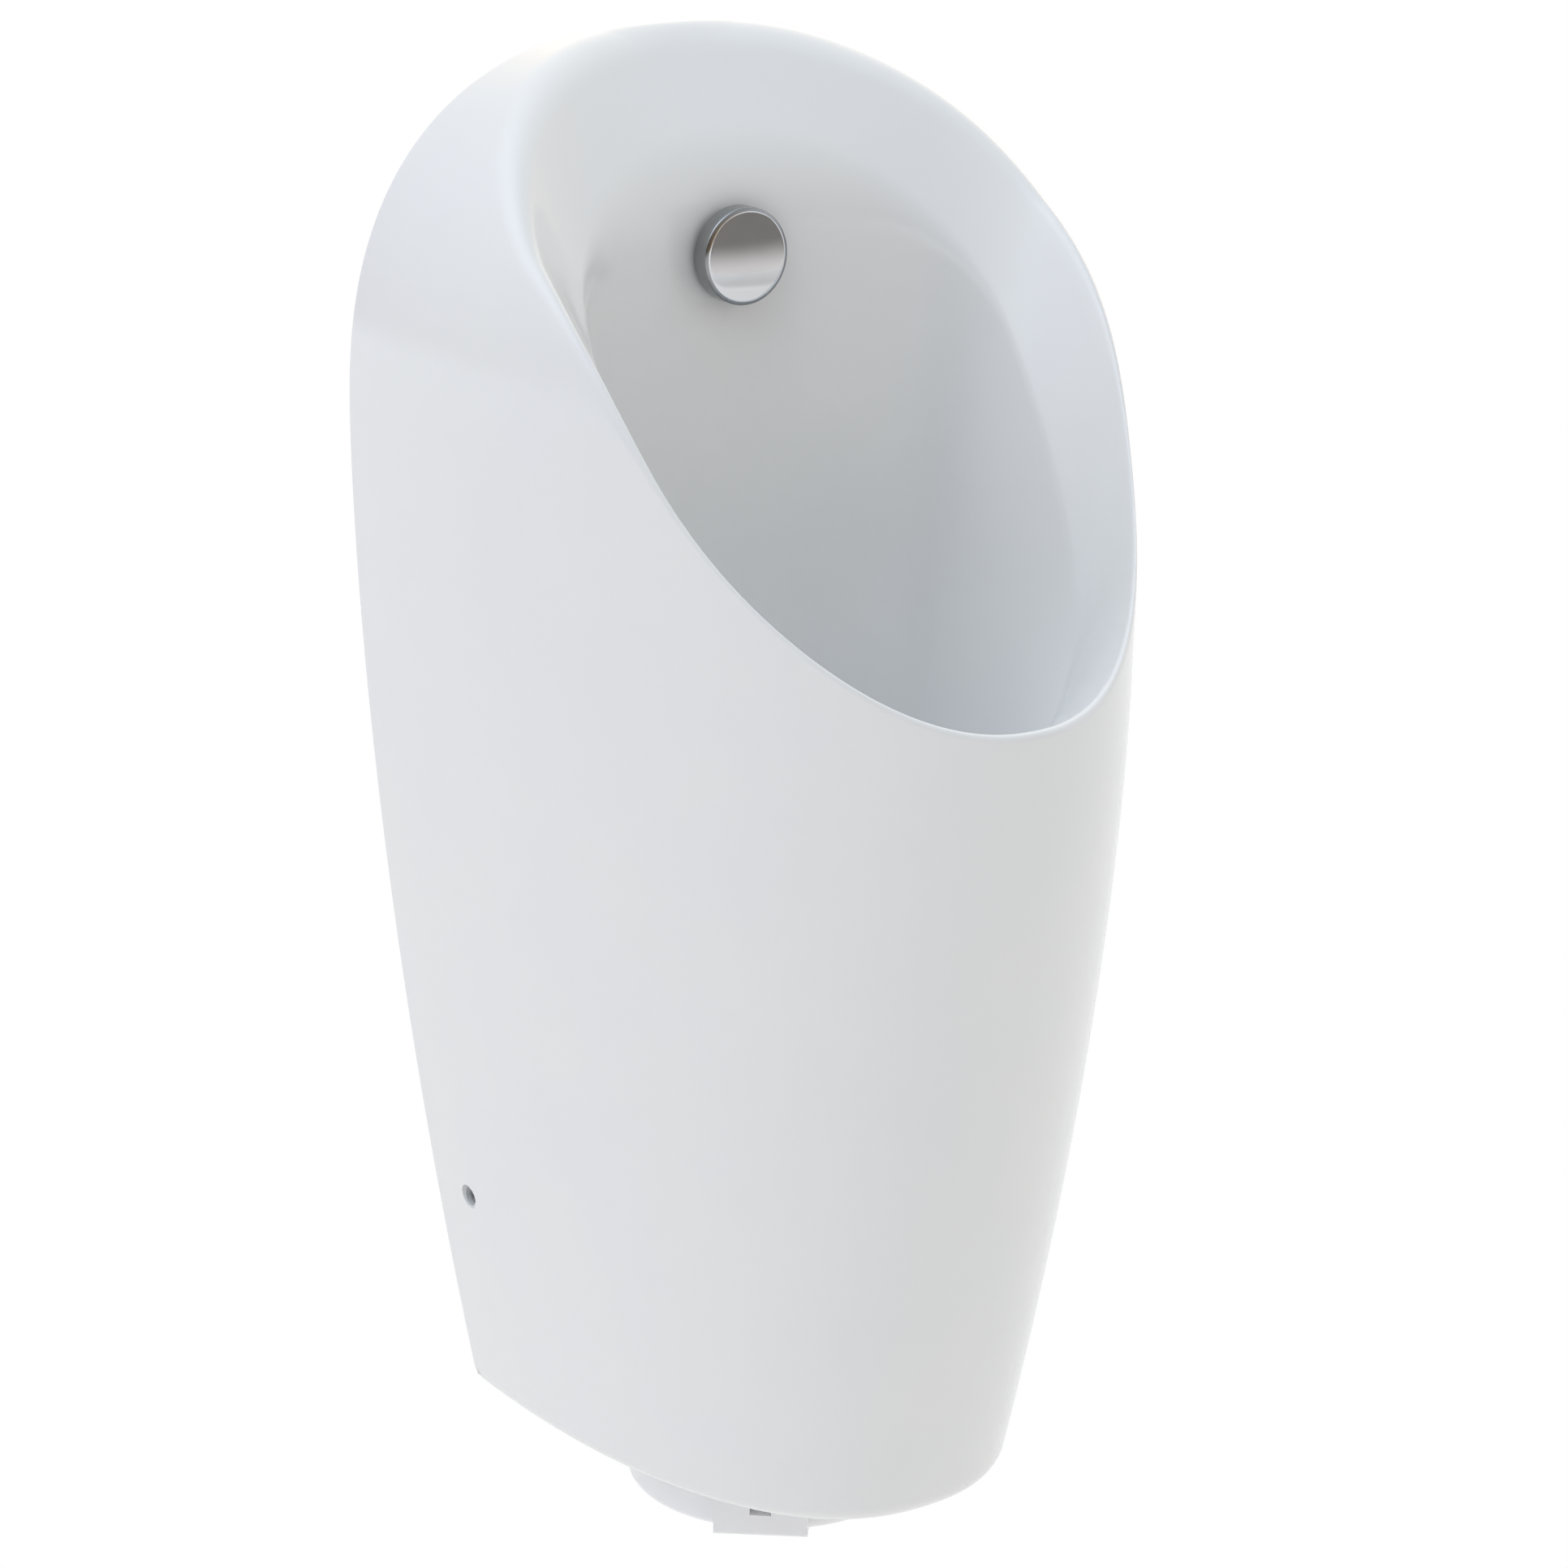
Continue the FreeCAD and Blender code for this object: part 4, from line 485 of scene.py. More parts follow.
@dataclass(frozen=True)
class ChinaForm:
    """The china's outlines as formulas, with heights from its foot and depths from the wall, in mm."""

    # the outside
    crown: float = 649.4
    crown_power: float = 2.48
    crown_share: float = 0.28  # of the wall outline's parameter lies over the widest place
    half_width: float = 163.0
    widest: float = 483.0
    foot_half_width: float = 107.0
    taper_power: float = 1.7
    lip: float = 392.5
    lip_depth: float = 294.0
    foot_depth: float = 226.0
    prow_power: float = 1.44
    lip_section_power: float = 1.97
    foot_section_power: float = 2.33
    foot_round: float = 10.0
    # the rim's inner crease
    rim_top: float = 638.0
    rim_top_depth: float = 20.0
    rim_widest: float = 578.0
    rim_half_width: float = 133.7
    rim_powers: tuple[float, float] = (1.88, 2.17)
    rim_bulge: float = 15.8
    rim_sway: float = -156.0
    # the throat, where the flared band turns into the bowl
    throat_top: float = 588.0
    throat_top_depth: float = 58.0
    throat_widest: float = 515.8
    throat_half_width: float = 106.3
    throat_bottom: float = 328.7
    throat_bottom_depth: float = 201.0
    throat_powers: tuple[float, float] = (2.2, 3.2)
    throat_bulge: float = 33.5
    # the bowl and its outlet
    bowl_retreat: float = 0.9  # share of the way to the back wall by which the sides draw back as they fall
    bowl_narrowing: float = 0.98
    bowl_drop: float = 0.3  # share of the fall to the outlet that is nearly straight
    dish_half_width: float = 55.0
    dish_reach: tuple[float, float] = (15.0, 50.0)  # of the dish behind and before the outlet
    dish_rise: float = 12.0
    outlet_height: float = 205.0
    outlet_depth: float = 97.0
    outlet_radius: float = 24.0

    def depth(self, z: Array) -> Array:
        """Depth of the front at a height."""
        fall = np.clip((self.lip - z) / self.lip, 0.0, 1.0)
        return self.lip_depth - (self.lip_depth - self.foot_depth) * fall ** self.prow_power

    def power(self, z: Array) -> Array:
        """Squareness of the plan section at a height."""
        share = np.clip(z / self.lip, 0.0, 1.0)
        return self.foot_section_power + (self.lip_section_power - self.foot_section_power) * share

    def half(self, z: Array, inset: float, crown: float) -> Array:
        """Half of the width at a height.

        Args:
            z: the heights.
            inset: how far the column is set in.
            crown: the column's top.

        Returns:
            The half widths.
        """
        rise = np.clip((z - self.widest) / (crown - self.widest), 0.0, 1.0)
        fall = np.clip((self.widest - z) / self.widest, 0.0, 1.0)
        over = (self.half_width - inset) * (1.0 - rise ** self.crown_power) ** (1.0 / self.crown_power)
        under = self.half_width - (self.half_width - self.foot_half_width) * fall ** self.taper_power - inset
        return np.where(z > self.widest, over, under)

    def ring(self, angle: Array, top: float, widest: float, bottom: float, half: float,
             powers: tuple[float, float]) -> tuple[Array, Array]:
        """A ring of the mouth, seen from the front.

        Args:
            angle: the angles from its top.
            top: the ring's top.
            widest: the height of its widest place.
            bottom: its bottom.
            half: half of its width.
            powers: its superellipse's power over and under the widest place.

        Returns:
            The widths and the heights.
        """
        upper = np.cos(angle) > 0
        x, rise = superellipse(angle, powers[0] + (powers[1] - powers[0]) * onset(angle))
        return half * x, widest + rise * np.where(upper, top - widest, widest - bottom)

    def rim(self, angle: Array) -> Array:
        """Points of the rim's inner crease.

        Args:
            angle: the angles from the mouth's top.

        Returns:
            The points.
        """
        x, z = self.ring(angle, self.rim_top, self.rim_widest, self.lip, self.rim_half_width, self.rim_powers)
        share = (z - self.lip) / (self.rim_top - self.lip)
        bow = share * (1.0 - share)
        depth = self.lip_depth + (self.rim_top_depth - self.lip_depth) * share + self.rim_bulge * 4.0 * bow
        return stacked(x, -depth - self.rim_sway * bow * (1.0 - 2.0 * share), z)

    def throat(self, angle: Array) -> Array:
        """Points where the flared band turns into the bowl.

        Args:
            angle: the angles from the mouth's top.

        Returns:
            The points.
        """
        x, z = self.ring(angle, self.throat_top, self.throat_widest, self.throat_bottom,
                         self.throat_half_width, self.throat_powers)
        share = (z - self.throat_bottom) / (self.throat_top - self.throat_bottom)
        depth = self.throat_bottom_depth + (self.throat_top_depth - self.throat_bottom_depth) * share
        return stacked(x, -depth - self.throat_bulge * 4.0 * share * (1.0 - share), z)

    def flare(self, angle: Array, share: Array) -> Array:
        """Points of the flared band; share is 0 at the throat and 1 at the rim's crease."""
        low, high = self.throat(angle), self.rim(angle)
        return low + (high - low) * np.asarray(share, float)[..., None]

    def bowl(self, angle: Array, share: Array) -> Array:
        """Points of the bowl.

        Args:
            angle: the angles from the mouth's top.
            share: 0 at the throat and 1 at the outlet.

        Returns:
            The points.
        """
        start, low = self.throat(angle), onset(angle)
        sine, cosine = np.sin(angle), np.cos(angle)
        end = stacked(self.outlet_radius * sine, self.outlet_radius * cosine - self.outlet_depth,
                      self.outlet_height)
        retreat = self.bowl_retreat * (1.0 - low * cosine ** 2)
        run = stacked(start[..., 0] * self.bowl_narrowing,
                      start[..., 1] - (self.throat_top_depth + start[..., 1]) * retreat,
                      start[..., 2] - (start[..., 2] - self.outlet_height) * self.bowl_drop)
        behind, before = self.dish_reach
        reach = behind + (before - behind) * low
        dish = end + stacked(self.dish_half_width * sine, reach * cosine, self.dish_rise)
        s = np.asarray(share, float)[..., None]
        return start * (1 - s) ** 3 + run * 3 * s * (1 - s) ** 2 + dish * 3 * s ** 2 * (1 - s) + end * s ** 3

    def grown(self, surface: Callable[[Array, Array], Array], angle: Array, share: Array,
              growth: float) -> Array:
        """Points of the flared band or the bowl, moved into the china.

        Args:
            surface: the form's flare or bowl.
            angle: the angles from the mouth's top.
            share: the surface's own shares.
            growth: how far to move the points.

        Returns:
            The points.
        """
        angle, share = np.broadcast_arrays(angle, np.asarray(share, float))
        point = surface(angle, share)
        if growth == 0.0:
            return point
        step, nothing = 0.01, 1e-6
        along = surface(angle + step, share) - surface(angle - step, share)
        down = surface(angle, share + step) - surface(angle, share - step)
        normal = np.cross(along, down)
        normal[np.abs(np.sin(angle)) < nothing, 0] = 0.0
        normal /= np.linalg.norm(normal, axis=-1, keepdims=True)
        side = -growth if surface == self.flare else growth
        return point + normal * side


@dataclass
class China:
    """The glazed china body: two sheets of one form, one inside the other, closed at the wall and foot."""

    form: ChinaForm = field(default_factory=ChinaForm)
    stations: int = 200  # steps round half of the rim
    fine_rows: tuple[int, int, int, int, int] = (48, 8, 10, 12, 88)  # bowl, throat, band, rim and outside
    coarse_rows: tuple[int, int, int, int, int] = (18, 2, 5, 2, 26)
    row_crowding: float = 1.5  # over 1, the outside's rows crowd towards the foot and the wall
    level_share: float = 0.55  # up to this share of the stations, the wall's edge keeps pace with them
    wall_share: float = 0.8  # up to this one, stations end at the wall, and past it at the foot
    back_points: int = 25  # of the foot's straight edge at the wall
    carried_on: float = 1.7  # how far the flared band is followed from the throat, in its own widths
    halvings: int = 40  # of the search for the rim
    crease_deg: float = 50.0
    wall: float = 9.0
    hollow_top: float = 628.0
    horn: tuple[float, float, float] = (24.5, 33.5, 172.0)  # inner and outer radius, bottom
    opening_radius: float = 73.0
    lip_round: float = 6.5
    crown_round: float = 15.0
    throat_round: float = 3.5
    throat_top_round: float = 22.0
    inner_round: float = 1.0  # of the hollow's corners
    bowl_run: float = 300.0  # rough length of the bowl's wall
    bowl_ends: tuple[float, float] = (0.004, 0.2)  # smallest and largest share the throat's turn takes
    # the lug's near and far side from the middle, its back and front, its bottom and top
    lug: tuple[float, float, float, float, float, float] = (104.0, 157.0, 14.0, 34.0, 472.0, 498.0)
    lug_round: float = 1.5
    side_hole: tuple[float, float, float] = (30.0, 115.0, 5.8)  # depth, height, radius
    side_hole_reach: float = 150.0

    def column(self, w: Array, t: Array, inset: float, crown: float) -> Array:
        """Points of the outside, or of the hollow when set in.

        Args:
            w: 0 at the crown, 1 at the foot.
            t: 0 at the wall, a quarter turn at the front.
            inset: how far the column is set in.
            crown: the column's top.

        Returns:
            The points.
        """
        form = self.form
        psi = np.clip(w / form.crown_share, 0.0, 1.0) * QUARTER_TURN
        sine, cosine = superellipse(psi, form.crown_power)
        fall = np.clip((w - form.crown_share) / (1.0 - form.crown_share), 0.0, 1.0)
        over = w < form.crown_share
        z = np.where(over, form.widest + (crown - form.widest) * cosine,
                     form.widest - (form.widest - inset) * fall)
        wide = np.where(over, (form.half_width - inset) * sine, form.half(z, inset, crown))
        deep = form.depth(z) - inset
        if inset == 0.0:
            low = np.clip(form.foot_round - z, 0.0, form.foot_round)
            tuck = form.foot_round - np.sqrt(form.foot_round ** 2 - low ** 2)
            wide, deep = wide - tuck, deep - tuck
        forward, side = superellipse(t, form.power(z))
        return stacked(wide * side, -deep * forward, z)

    def meeting(self, angle: Array, inset: float, growth: float, crown: float) -> tuple[Array, Array, Array]:
        """Where the flared band, carried on, meets the column.

        Args:
            angle: the stations' angles.
            inset: the column's inset.
            growth: how far the flared band is moved into the china.
            crown: the column's top.

        Returns:
            The points, and their w and t on the column.
        """
        form, narrowest = self.form, 1e-6
        low, high = np.zeros_like(angle), np.full_like(angle, self.carried_on)
        for _ in range(self.halvings):
            share = (low + high) / 2
            x, y, z = np.moveaxis(form.grown(form.flare, angle, share, growth), -1, 0)
            wide, deep, power = form.half(z, inset, crown), form.depth(z) - inset, form.power(z)
            beside, before = np.abs(x) / np.maximum(wide, narrowest), np.abs(y) / deep
            outside = (beside ** power + before ** power > 1.0) | (z >= crown)
            low, high = np.where(outside, low, share), np.where(outside, share, high)
        point = form.grown(form.flare, angle, low, growth)
        x, y, z = np.moveaxis(point, -1, 0)
        rise = np.clip((z - form.widest) / (crown - form.widest), 0.0, 1.0)
        run = (1.0 - rise ** form.crown_power) ** (1.0 / form.crown_power)
        over = np.arctan2(run, rise) / QUARTER_TURN * form.crown_share
        under = form.crown_share + (form.widest - z) / (form.widest - inset) * (1.0 - form.crown_share)
        wide, deep, power = form.half(z, inset, crown), form.depth(z) - inset, form.power(z)
        ahead = np.clip(np.abs(y) / deep, 0.0, 1.0)
        aside = np.clip(np.abs(x) / np.maximum(wide, narrowest), 0.0, 1.0)
        near_wall = ahead < aside
        aside = np.where(near_wall | (wide < 1.0), (1.0 - ahead ** power) ** (1.0 / power), aside)
        ahead = np.where(near_wall, ahead, (1.0 - aside ** power) ** (1.0 / power))
        return point, np.where(z > form.widest, over, under), np.arctan2(ahead, aside)

    def sheet(self, inset: float, growth: float, crown: float, rounding: bool) -> Array:
        """One skin of the china, from the outlet up the bowl, over the rim and down the outside.

        Args:
            inset: how far the outside is set in.
            growth: how far the bowl is moved into the china.
            crown: the skin's top.
            rounding: whether the rim and the throat are rounded.

        Returns:
            A grid: stations round the rim by points along the skin.
        """
        form = self.form
        angle = np.linspace(0.0, math.pi, self.stations + 1)
        place = angle / math.pi
        corner, w, t = self.meeting(angle, inset, growth, crown)
        level, wall = self.level_share, self.wall_share
        edge_w = np.interp(place, [0.0, level, wall, 1.0], [0.0, level, 1.0, 1.0])
        edge_t = np.interp(place, [wall, 1.0], [0.0, QUARTER_TURN])

        def outer(v: Array) -> Array:
            """Points of the outside; v is 0 at the rim and 1 at the far edge."""
            v = np.broadcast_to(v, (len(angle), np.shape(v)[-1]))
            return self.column(w[:, None] + (edge_w - w)[:, None] * v, t[:, None] + (edge_t - t)[:, None] * v,
                               inset, crown)

        high = np.clip((corner[:, 2] - form.lip) / (form.rim_top - form.lip), 0.0, 1.0)
        turn = soft = np.full_like(high, self.inner_round)
        if rounding:
            topness = np.clip(np.cos(angle), 0.0, 1.0) ** 2
            turn = self.lip_round + (self.crown_round - self.lip_round) * high
            soft = self.throat_round + (self.throat_top_round - self.throat_round) * topness
        probe, farthest = 0.02, 0.5
        speed = np.linalg.norm(outer(np.array([probe]))[:, 0] - corner, axis=-1) / probe
        first = np.clip(turn / speed, 0.0, farthest)[:, None]
        throat = sum(form.grown(surface, angle, 0.0, growth) / 2 for surface in (form.flare, form.bowl))
        length = np.linalg.norm(corner - throat, axis=-1)
        flare_start = throat + (corner - throat) * (soft / length)[:, None]
        flare_end = corner + (throat - corner) * (turn / length)[:, None]
        bowl_end = np.clip(soft / self.bowl_run, *self.bowl_ends)
        rows = self.fine_rows if rounding else self.coarse_rows
        bowl_rows, throat_rows, band_rows, rim_rows, down_rows = rows
        bowl = form.grown(form.bowl, angle[:, None], np.linspace(1.0, bowl_end, bowl_rows).T, growth)
        throat_turn = corner_curve(bowl[:, -1], throat, flare_start, throat_rows)
        across = np.linspace(0, 1, band_rows)[None, :, None]
        band = flare_start[:, None] + (flare_end - flare_start)[:, None] * across
        rim_turn = corner_curve(flare_end, corner, outer(first)[:, 0], rim_rows)
        fall = 1.0 - (1.0 - np.linspace(0.0, 1.0, down_rows)) ** self.row_crowding
        down = outer(first + (1.0 - first) * fall[None, :])
        half = np.concatenate([bowl, throat_turn[:, 1:], band[:, 1:], rim_turn[:, 1:], down[:, 1:]], axis=1)
        half[0, :, 0] = half[-1, :, 0] = 0.0
        return np.concatenate([half, half[-2::-1] * (-1.0, 1.0, 1.0)])

    def closing(self, outer: Array, inner: Array) -> list[Array]:
        """The strips and plates between the two skins, at the wall, at the foot and round the outlet.

        Args:
            outer: the outer skin.
            inner: the inner skin.

        Returns:
            The grids.
        """
        form = self.form
        low = int(round(self.stations * self.wall_share))
        ends = low, len(outer) - 1 - low
        edge, hollow = outer[:, -1], inner[:, -1]
        sides = slice(0, low + 1), slice(ends[1], None)
        wall_strips = [np.stack([edge[side], hollow[side]], axis=1) for side in sides]
        front = slice(ends[0], ends[1] + 1)
        share = np.linspace(0.0, 1.0, self.back_points)[:, None]
        loops = []
        for ring in (edge, hollow):
            back = ring[ends[1]] + (ring[ends[0]] - ring[ends[1]]) * share
            loops.append(np.concatenate([ring[front], back[1:]]))
        centre = np.array([0.0, -form.outlet_depth, 0.0])
        ray = (loops[0] - centre) * (1.0, 1.0, 0.0)
        circle = centre + ray / np.linalg.norm(ray, axis=-1, keepdims=True) * self.opening_radius
        lifted = circle + (0.0, 0.0, self.wall)
        plate = np.stack([loops[0], circle, lifted, loops[1]], axis=1)
        back_edge = np.stack([loop[-self.back_points:] for loop in loops], axis=1)
        bore, radius, bottom = self.horn
        angle = np.linspace(0.0, FULL_TURN, len(outer))
        horn = [outer[:, 0]]
        for r, z in ((bore, form.outlet_height), (bore, bottom), (radius, bottom),
                     (radius, form.outlet_height - self.wall)):
            horn.append(stacked(r * np.sin(angle), r * np.cos(angle) - form.outlet_depth, z))
        horn.append(inner[:, 0])
        return wall_strips + [plate, back_edge, np.stack(horn, axis=1)]

    def lug_box(self, side: float) -> bpy.types.Mesh:
        """Makes one of the two lugs by which the china hangs on the wall plate.

        Args:
            side: -1 for the left lug, 1 for the right one.

        Returns:
            A closed box with its outer end inside the china's wall.
        """
        near, far, back, front, low, high = self.lug
        mesh = bpy.data.meshes.new("lug")
        box = bmesh.new()
        corners = [box.verts.new(metres((side * x, -y, z))) for x in (near, far) for y in (back, front)
                   for z in (low, high)]
        for ring in ((0, 1, 3, 2), (4, 6, 7, 5), (0, 4, 5, 1), (2, 3, 7, 6), (0, 2, 6, 4), (1, 5, 7, 3)):
            box.faces.new([corners[k] for k in ring])
        bmesh.ops.bevel(box, geom=list(box.edges), offset=self.lug_round / MM_PER_METRE, segments=3,
                        profile=0.5, affect="EDGES")
        bmesh.ops.recalc_face_normals(box, faces=box.faces)
        box.to_mesh(mesh)
        box.free()
        return mesh

    def build(self) -> bpy.types.Object:
        """Makes the china.

        Returns:
            The china's object.
        """
        outer = self.sheet(0.0, 0.0, self.form.crown, True)
        inner = self.sheet(self.wall, self.wall, self.hollow_top, False)
        grids = [outer, inner] + self.closing(outer, inner)
        piece = object_of("china_body", mesh_of_grids("china_body", grids, self.crease_deg), Kind.CHINA)
        depth, height, radius = self.side_hole
        reach = self.side_hole_reach
        profile = [(0.0, -reach), (radius, -reach), (radius, reach), (0.0, reach)]
        hole = around(profile, (0.0, -depth, height), (1.0, 0.0, 0.0), segments=48)
        carve(piece, mesh_of_grids("side_hole", [hole]))
        for side in (-1.0, 1.0):
            carve(piece, self.lug_box(side), "UNION")
        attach(piece, "urinal")
        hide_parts("ceramic_body")
        return piece


# -------- the spray head
@dataclass
class SprayHead:
    """The chromed spray cap on the bowl's back wall."""

    height: float = 553.0
    wall_depth: float = 59.2
    seal: float = 2.0
    radius: float = 22.0
    length: float = 11.0
    bevel: float = 1.8  # between the satin edge and the face
    back_bevel: float = 0.6
    edge_round: float = 0.7
    shell: float = 1.6
    dome: float = 0.9  # how far the middle of the face stands over its edge
    dome_start: float = 0.9  # share of the face's radius where its rounded edge ends
    dome_steps: int = 24
    edge_steps: int = 3  # of these, which the rounded edge takes up
    segments: int = 128
    crease_deg: float = 60.0

    def build(self) -> bpy.types.Object:
        """Makes the cap: a short turned cup with a faintly domed bright face and a satin edge.

        Returns:
            The cap's object.
        """
        front = self.length
        flat, low = self.radius - self.bevel, front - self.dome
        outside = rounded([(self.radius - self.back_bevel, 0.0), (self.radius, self.back_bevel),
                           (self.radius, low - self.bevel / 2), (flat, low),
                           (flat * self.dome_start, front - self.dome * self.dome_start ** 2)],
                          self.edge_round)
        shares = [k / self.dome_steps for k in range(self.dome_steps - self.edge_steps, -1, -1)]
        outside += [(flat * t, front - self.dome * t * t) for t in shares]
        inner, inner_face = self.radius - self.shell, front - 2 * self.shell
        profile = [(0.0, inner_face), (inner, inner_face), (inner, 0.0)] + outside
        start = (0.0, -self.wall_depth - self.seal, self.height)
        grid = around(profile, start, (0.0, -1.0, 0.0), self.segments)
        cap = object_of("spray_cap_polished", mesh_of_grids("spray_cap_polished", [grid], self.crease_deg),
                        Kind.CHROME)
        cap.data.materials.append(Kind.SATIN_CHROME.value.build())
        middle = Vector(metres((0.0, -self.wall_depth, self.height)))
        for face in cap.data.polygons:
            off = (face.center - middle) * Vector((1.0, 0.0, 1.0))
            face.material_index = int(off.length * MM_PER_METRE > flat)
        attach(cap, "urinal")
        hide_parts("spray_cap")
        return cap


# -------- the flush valve's spring
@dataclass
class ClosingSpring:
    """The wire spring that closes the flush valve, in the place of the sleeve that stands for its turns."""

    wire_radius: float = 0.85
    clearance: float = 0.1  # between the coil and the sleeve's outside
    turns: float = 3.6
    closed_turns: float = 0.8  # at each end, which lie flat
    lift: float = 2.5  # of the armature, which shortens the spring
    steps: int = 180
    sides: int = 14
    crease_deg: float = 60.0

    def build(self) -> bpy.types.Object:
        """Makes the spring: a coil of round wire with closed ends.

        Returns:
            The spring's object.
        """
        low, high = np.asarray(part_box("valve_spring"), float) * MM_PER_METRE + (0.0, 0.0, DATUM_HEIGHT)
        middle, tall = (low + high) / 2, high[2] - low[2]
        coil_radius = (high[0] - low[0]) / 2 - self.wire_radius - self.clearance
        share = np.linspace(0.0, 1.0, self.steps + 1)
        climbing = self.turns - 2 * self.closed_turns
        climb = np.clip((share * self.turns - self.closed_turns) / climbing, 0.0, 1.0)
        height = low[2] + self.wire_radius + (tall - 2 * self.wire_radius) * climb
        turn = share * self.turns * FULL_TURN
        around_wire = np.linspace(0.0, FULL_TURN, self.sides + 1)
        radius = np.full_like(share, self.wire_radius)
        radius[[0, -1]] = 0.0
        out = coil_radius + radius[:, None] * np.cos(around_wire)
        grid = stacked(middle[0] + out * np.cos(turn)[:, None], middle[1] + out * np.sin(turn)[:, None],
                       height[:, None] + radius[:, None] * np.sin(around_wire))
        wire = object_of("closing_spring", mesh_of_grids("closing_spring", [grid], self.crease_deg),
                         Kind.STAINLESS)
        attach(wire, "urinal")
        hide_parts("valve_spring")
        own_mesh(wire)
        return wire


# -------- the studio
@dataclass(frozen=True)
class Glow:
    """A broad glow of the room: where it is brightest, its linear colour there, and how fast it falls off."""

    azimuth_deg: float  # 0 in front of the urinal, 90 on its right
    elevation_deg: float
    tone: tuple[float, float, float]
    narrowness: float = 10.0

    def towards(self) -> Vector:
        """The direction of its middle."""
        azimuth, elevation = math.radians(self.azimuth_deg), math.radians(self.elevation_deg)
        return Vector((math.cos(elevation) * math.sin(azimuth), -math.cos(elevation) * math.cos(azimuth),
                       math.sin(elevation)))


@dataclass
class Studio:
    """A pale floor, a softly glowing room, a grey card and the camera. Sizes are in metres."""

    camera_place: tuple[float, float, float] = (-1.01072, -1.62552, 0.39043)
    right: tuple[float, float, float] = (0.83405, -0.55166, 0.00531)
    up: tuple[float, float, float] = (0.16525, 0.25901, 0.95163)
    lens_mm: float = 96.77
    sensor_mm: float = 36.0
    farthest_seen: float = 50.0
    glows: tuple[Glow, ...] = (
        Glow(90.0, 0.0, (0.480, 0.454, 0.448), 4.0),
        Glow(-135.0, 15.0, (0.227, 0.160, 0.155)),
        Glow(0.0, 15.0, (0.235, 0.128, 0.020)),
        Glow(45.0, 15.0, (0.629, 0.685, 0.726)),
        Glow(90.0, 15.0, (0.056, 0.089, 0.144)),
        Glow(135.0, 15.0, (1.805, 1.525, 1.208)),
        Glow(-135.0, 55.0, (0.609, 0.618, 0.634)),
        Glow(-90.0, 55.0, (1.432, 1.500, 1.638)),
        Glow(-45.0, 55.0, (0.103, 0.156, 0.188)),
        Glow(135.0, 55.0, (0.278, 0.236, 0.139)),
        Glow(0.0, 90.0, (0.183, 0.348, 0.496)),
    )
    floor_height: float = -0.95
    floor_side: float = 14.0  # half of the floor's side
    floor_grain: float = 40.0  # grains of the paint to the metre
    floor_relief: float = 0.02
    grain_height: float = 0.001
    floor_colour: str = "#f4f2f0"
    card_place: tuple[float, float] = (1.77, -2.67)
    card_size: tuple[float, float, float] = (0.9, -0.75, 0.45)  # half width, bottom and top
    card_fade: float = 0.4  # height over which the card darkens from its lower edge up
    card_colours: tuple[str, str] = ("#f4f2f0", "#8c8985")

    def shoot(self) -> None:
        """Sets the camera where the photograph was taken from."""
        data = bpy.data.cameras.new("camera")
        data.sensor_width = self.sensor_mm
        data.lens = self.lens_mm
        data.clip_end = self.farthest_seen
        camera = placed("camera", data)
        right = Vector(self.right).normalized()
        back = right.cross(Vector(self.up)).normalized()
        axes = Matrix((right, back.cross(right), back)).transposed().to_4x4()
        camera.matrix_world = Matrix.Translation(self.camera_place) @ axes
        bpy.context.scene.camera = camera

    def seen(self, tree: bpy.types.NodeTree) -> Socket:
        """1 for camera and glass rays, else 0.

        Args:
            tree: the node tree that asks.

        Returns:
            The socket.
        """
        path = add_node(tree, "ShaderNodeLightPath")
        either = add_node(tree, "ShaderNodeMath", {
            0: path.outputs["Is Camera Ray"], 1: path.outputs["Is Transmission Ray"]}, operation="MAXIMUM")
        return either.outputs[0]

    def world(self) -> None:
        """A soft room of a few broad glows, each brightest in its own direction, and white to the camera."""
        world = bpy.data.worlds.new("backdrop")
        tree = empty_tree(world)
        place = add_node(tree, "ShaderNodeTexCoord")
        room = None
        for glow in self.glows:
            facing = add_node(tree, "ShaderNodeVectorMath", {
                0: place.outputs["Generated"], 1: glow.towards()}, operation="DOT_PRODUCT")
            half = add_node(tree, "ShaderNodeMath", {0: facing.outputs["Value"], 1: 0.5, 2: 0.5},
                            operation="MULTIPLY_ADD", use_clamp=True)
            fall = add_node(tree, "ShaderNodeMath", {0: half.outputs[0], 1: glow.narrowness},
                            operation="POWER")
            tinted = add_node(tree, "ShaderNodeVectorMath", {0: glow.tone, "Scale": fall.outputs[0]},
                              operation="SCALE")
            if room is not None:
                tinted = add_node(tree, "ShaderNodeVectorMath", {0: room, 1: tinted.outputs[0]},
                                  operation="ADD")
            room = tinted.outputs[0]
        soft = add_node(tree, "ShaderNodeBackground", {"Color": room, "Strength": 1.0})
        white = add_node(tree, "ShaderNodeBackground", {"Color": (1.0, 1.0, 1.0, 1.0), "Strength": 1.0})
        mixed = add_node(tree, "ShaderNodeMixShader", {
            0: self.seen(tree), 1: soft.outputs[0], 2: white.outputs[0]})
        add_node(tree, "ShaderNodeOutputWorld", {"Surface": mixed.outputs[0]})
        bpy.context.scene.world = world

    def panel(self, name: str, corners: Sequence[Sequence[float]],
              material: bpy.types.Material) -> bpy.types.Object:
        """Adds a flat four cornered piece of the studio.

        Args:
            name: its name.
            corners: its corners in metres.
            material: its material.

        Returns:
            The panel.
        """
        mesh = bpy.data.meshes.new(name)
        mesh.from_pydata([tuple(c) for c in corners], [], [(0, 1, 2, 3)])
        mesh.materials.append(material)
        panel = placed(name, mesh)
        return panel

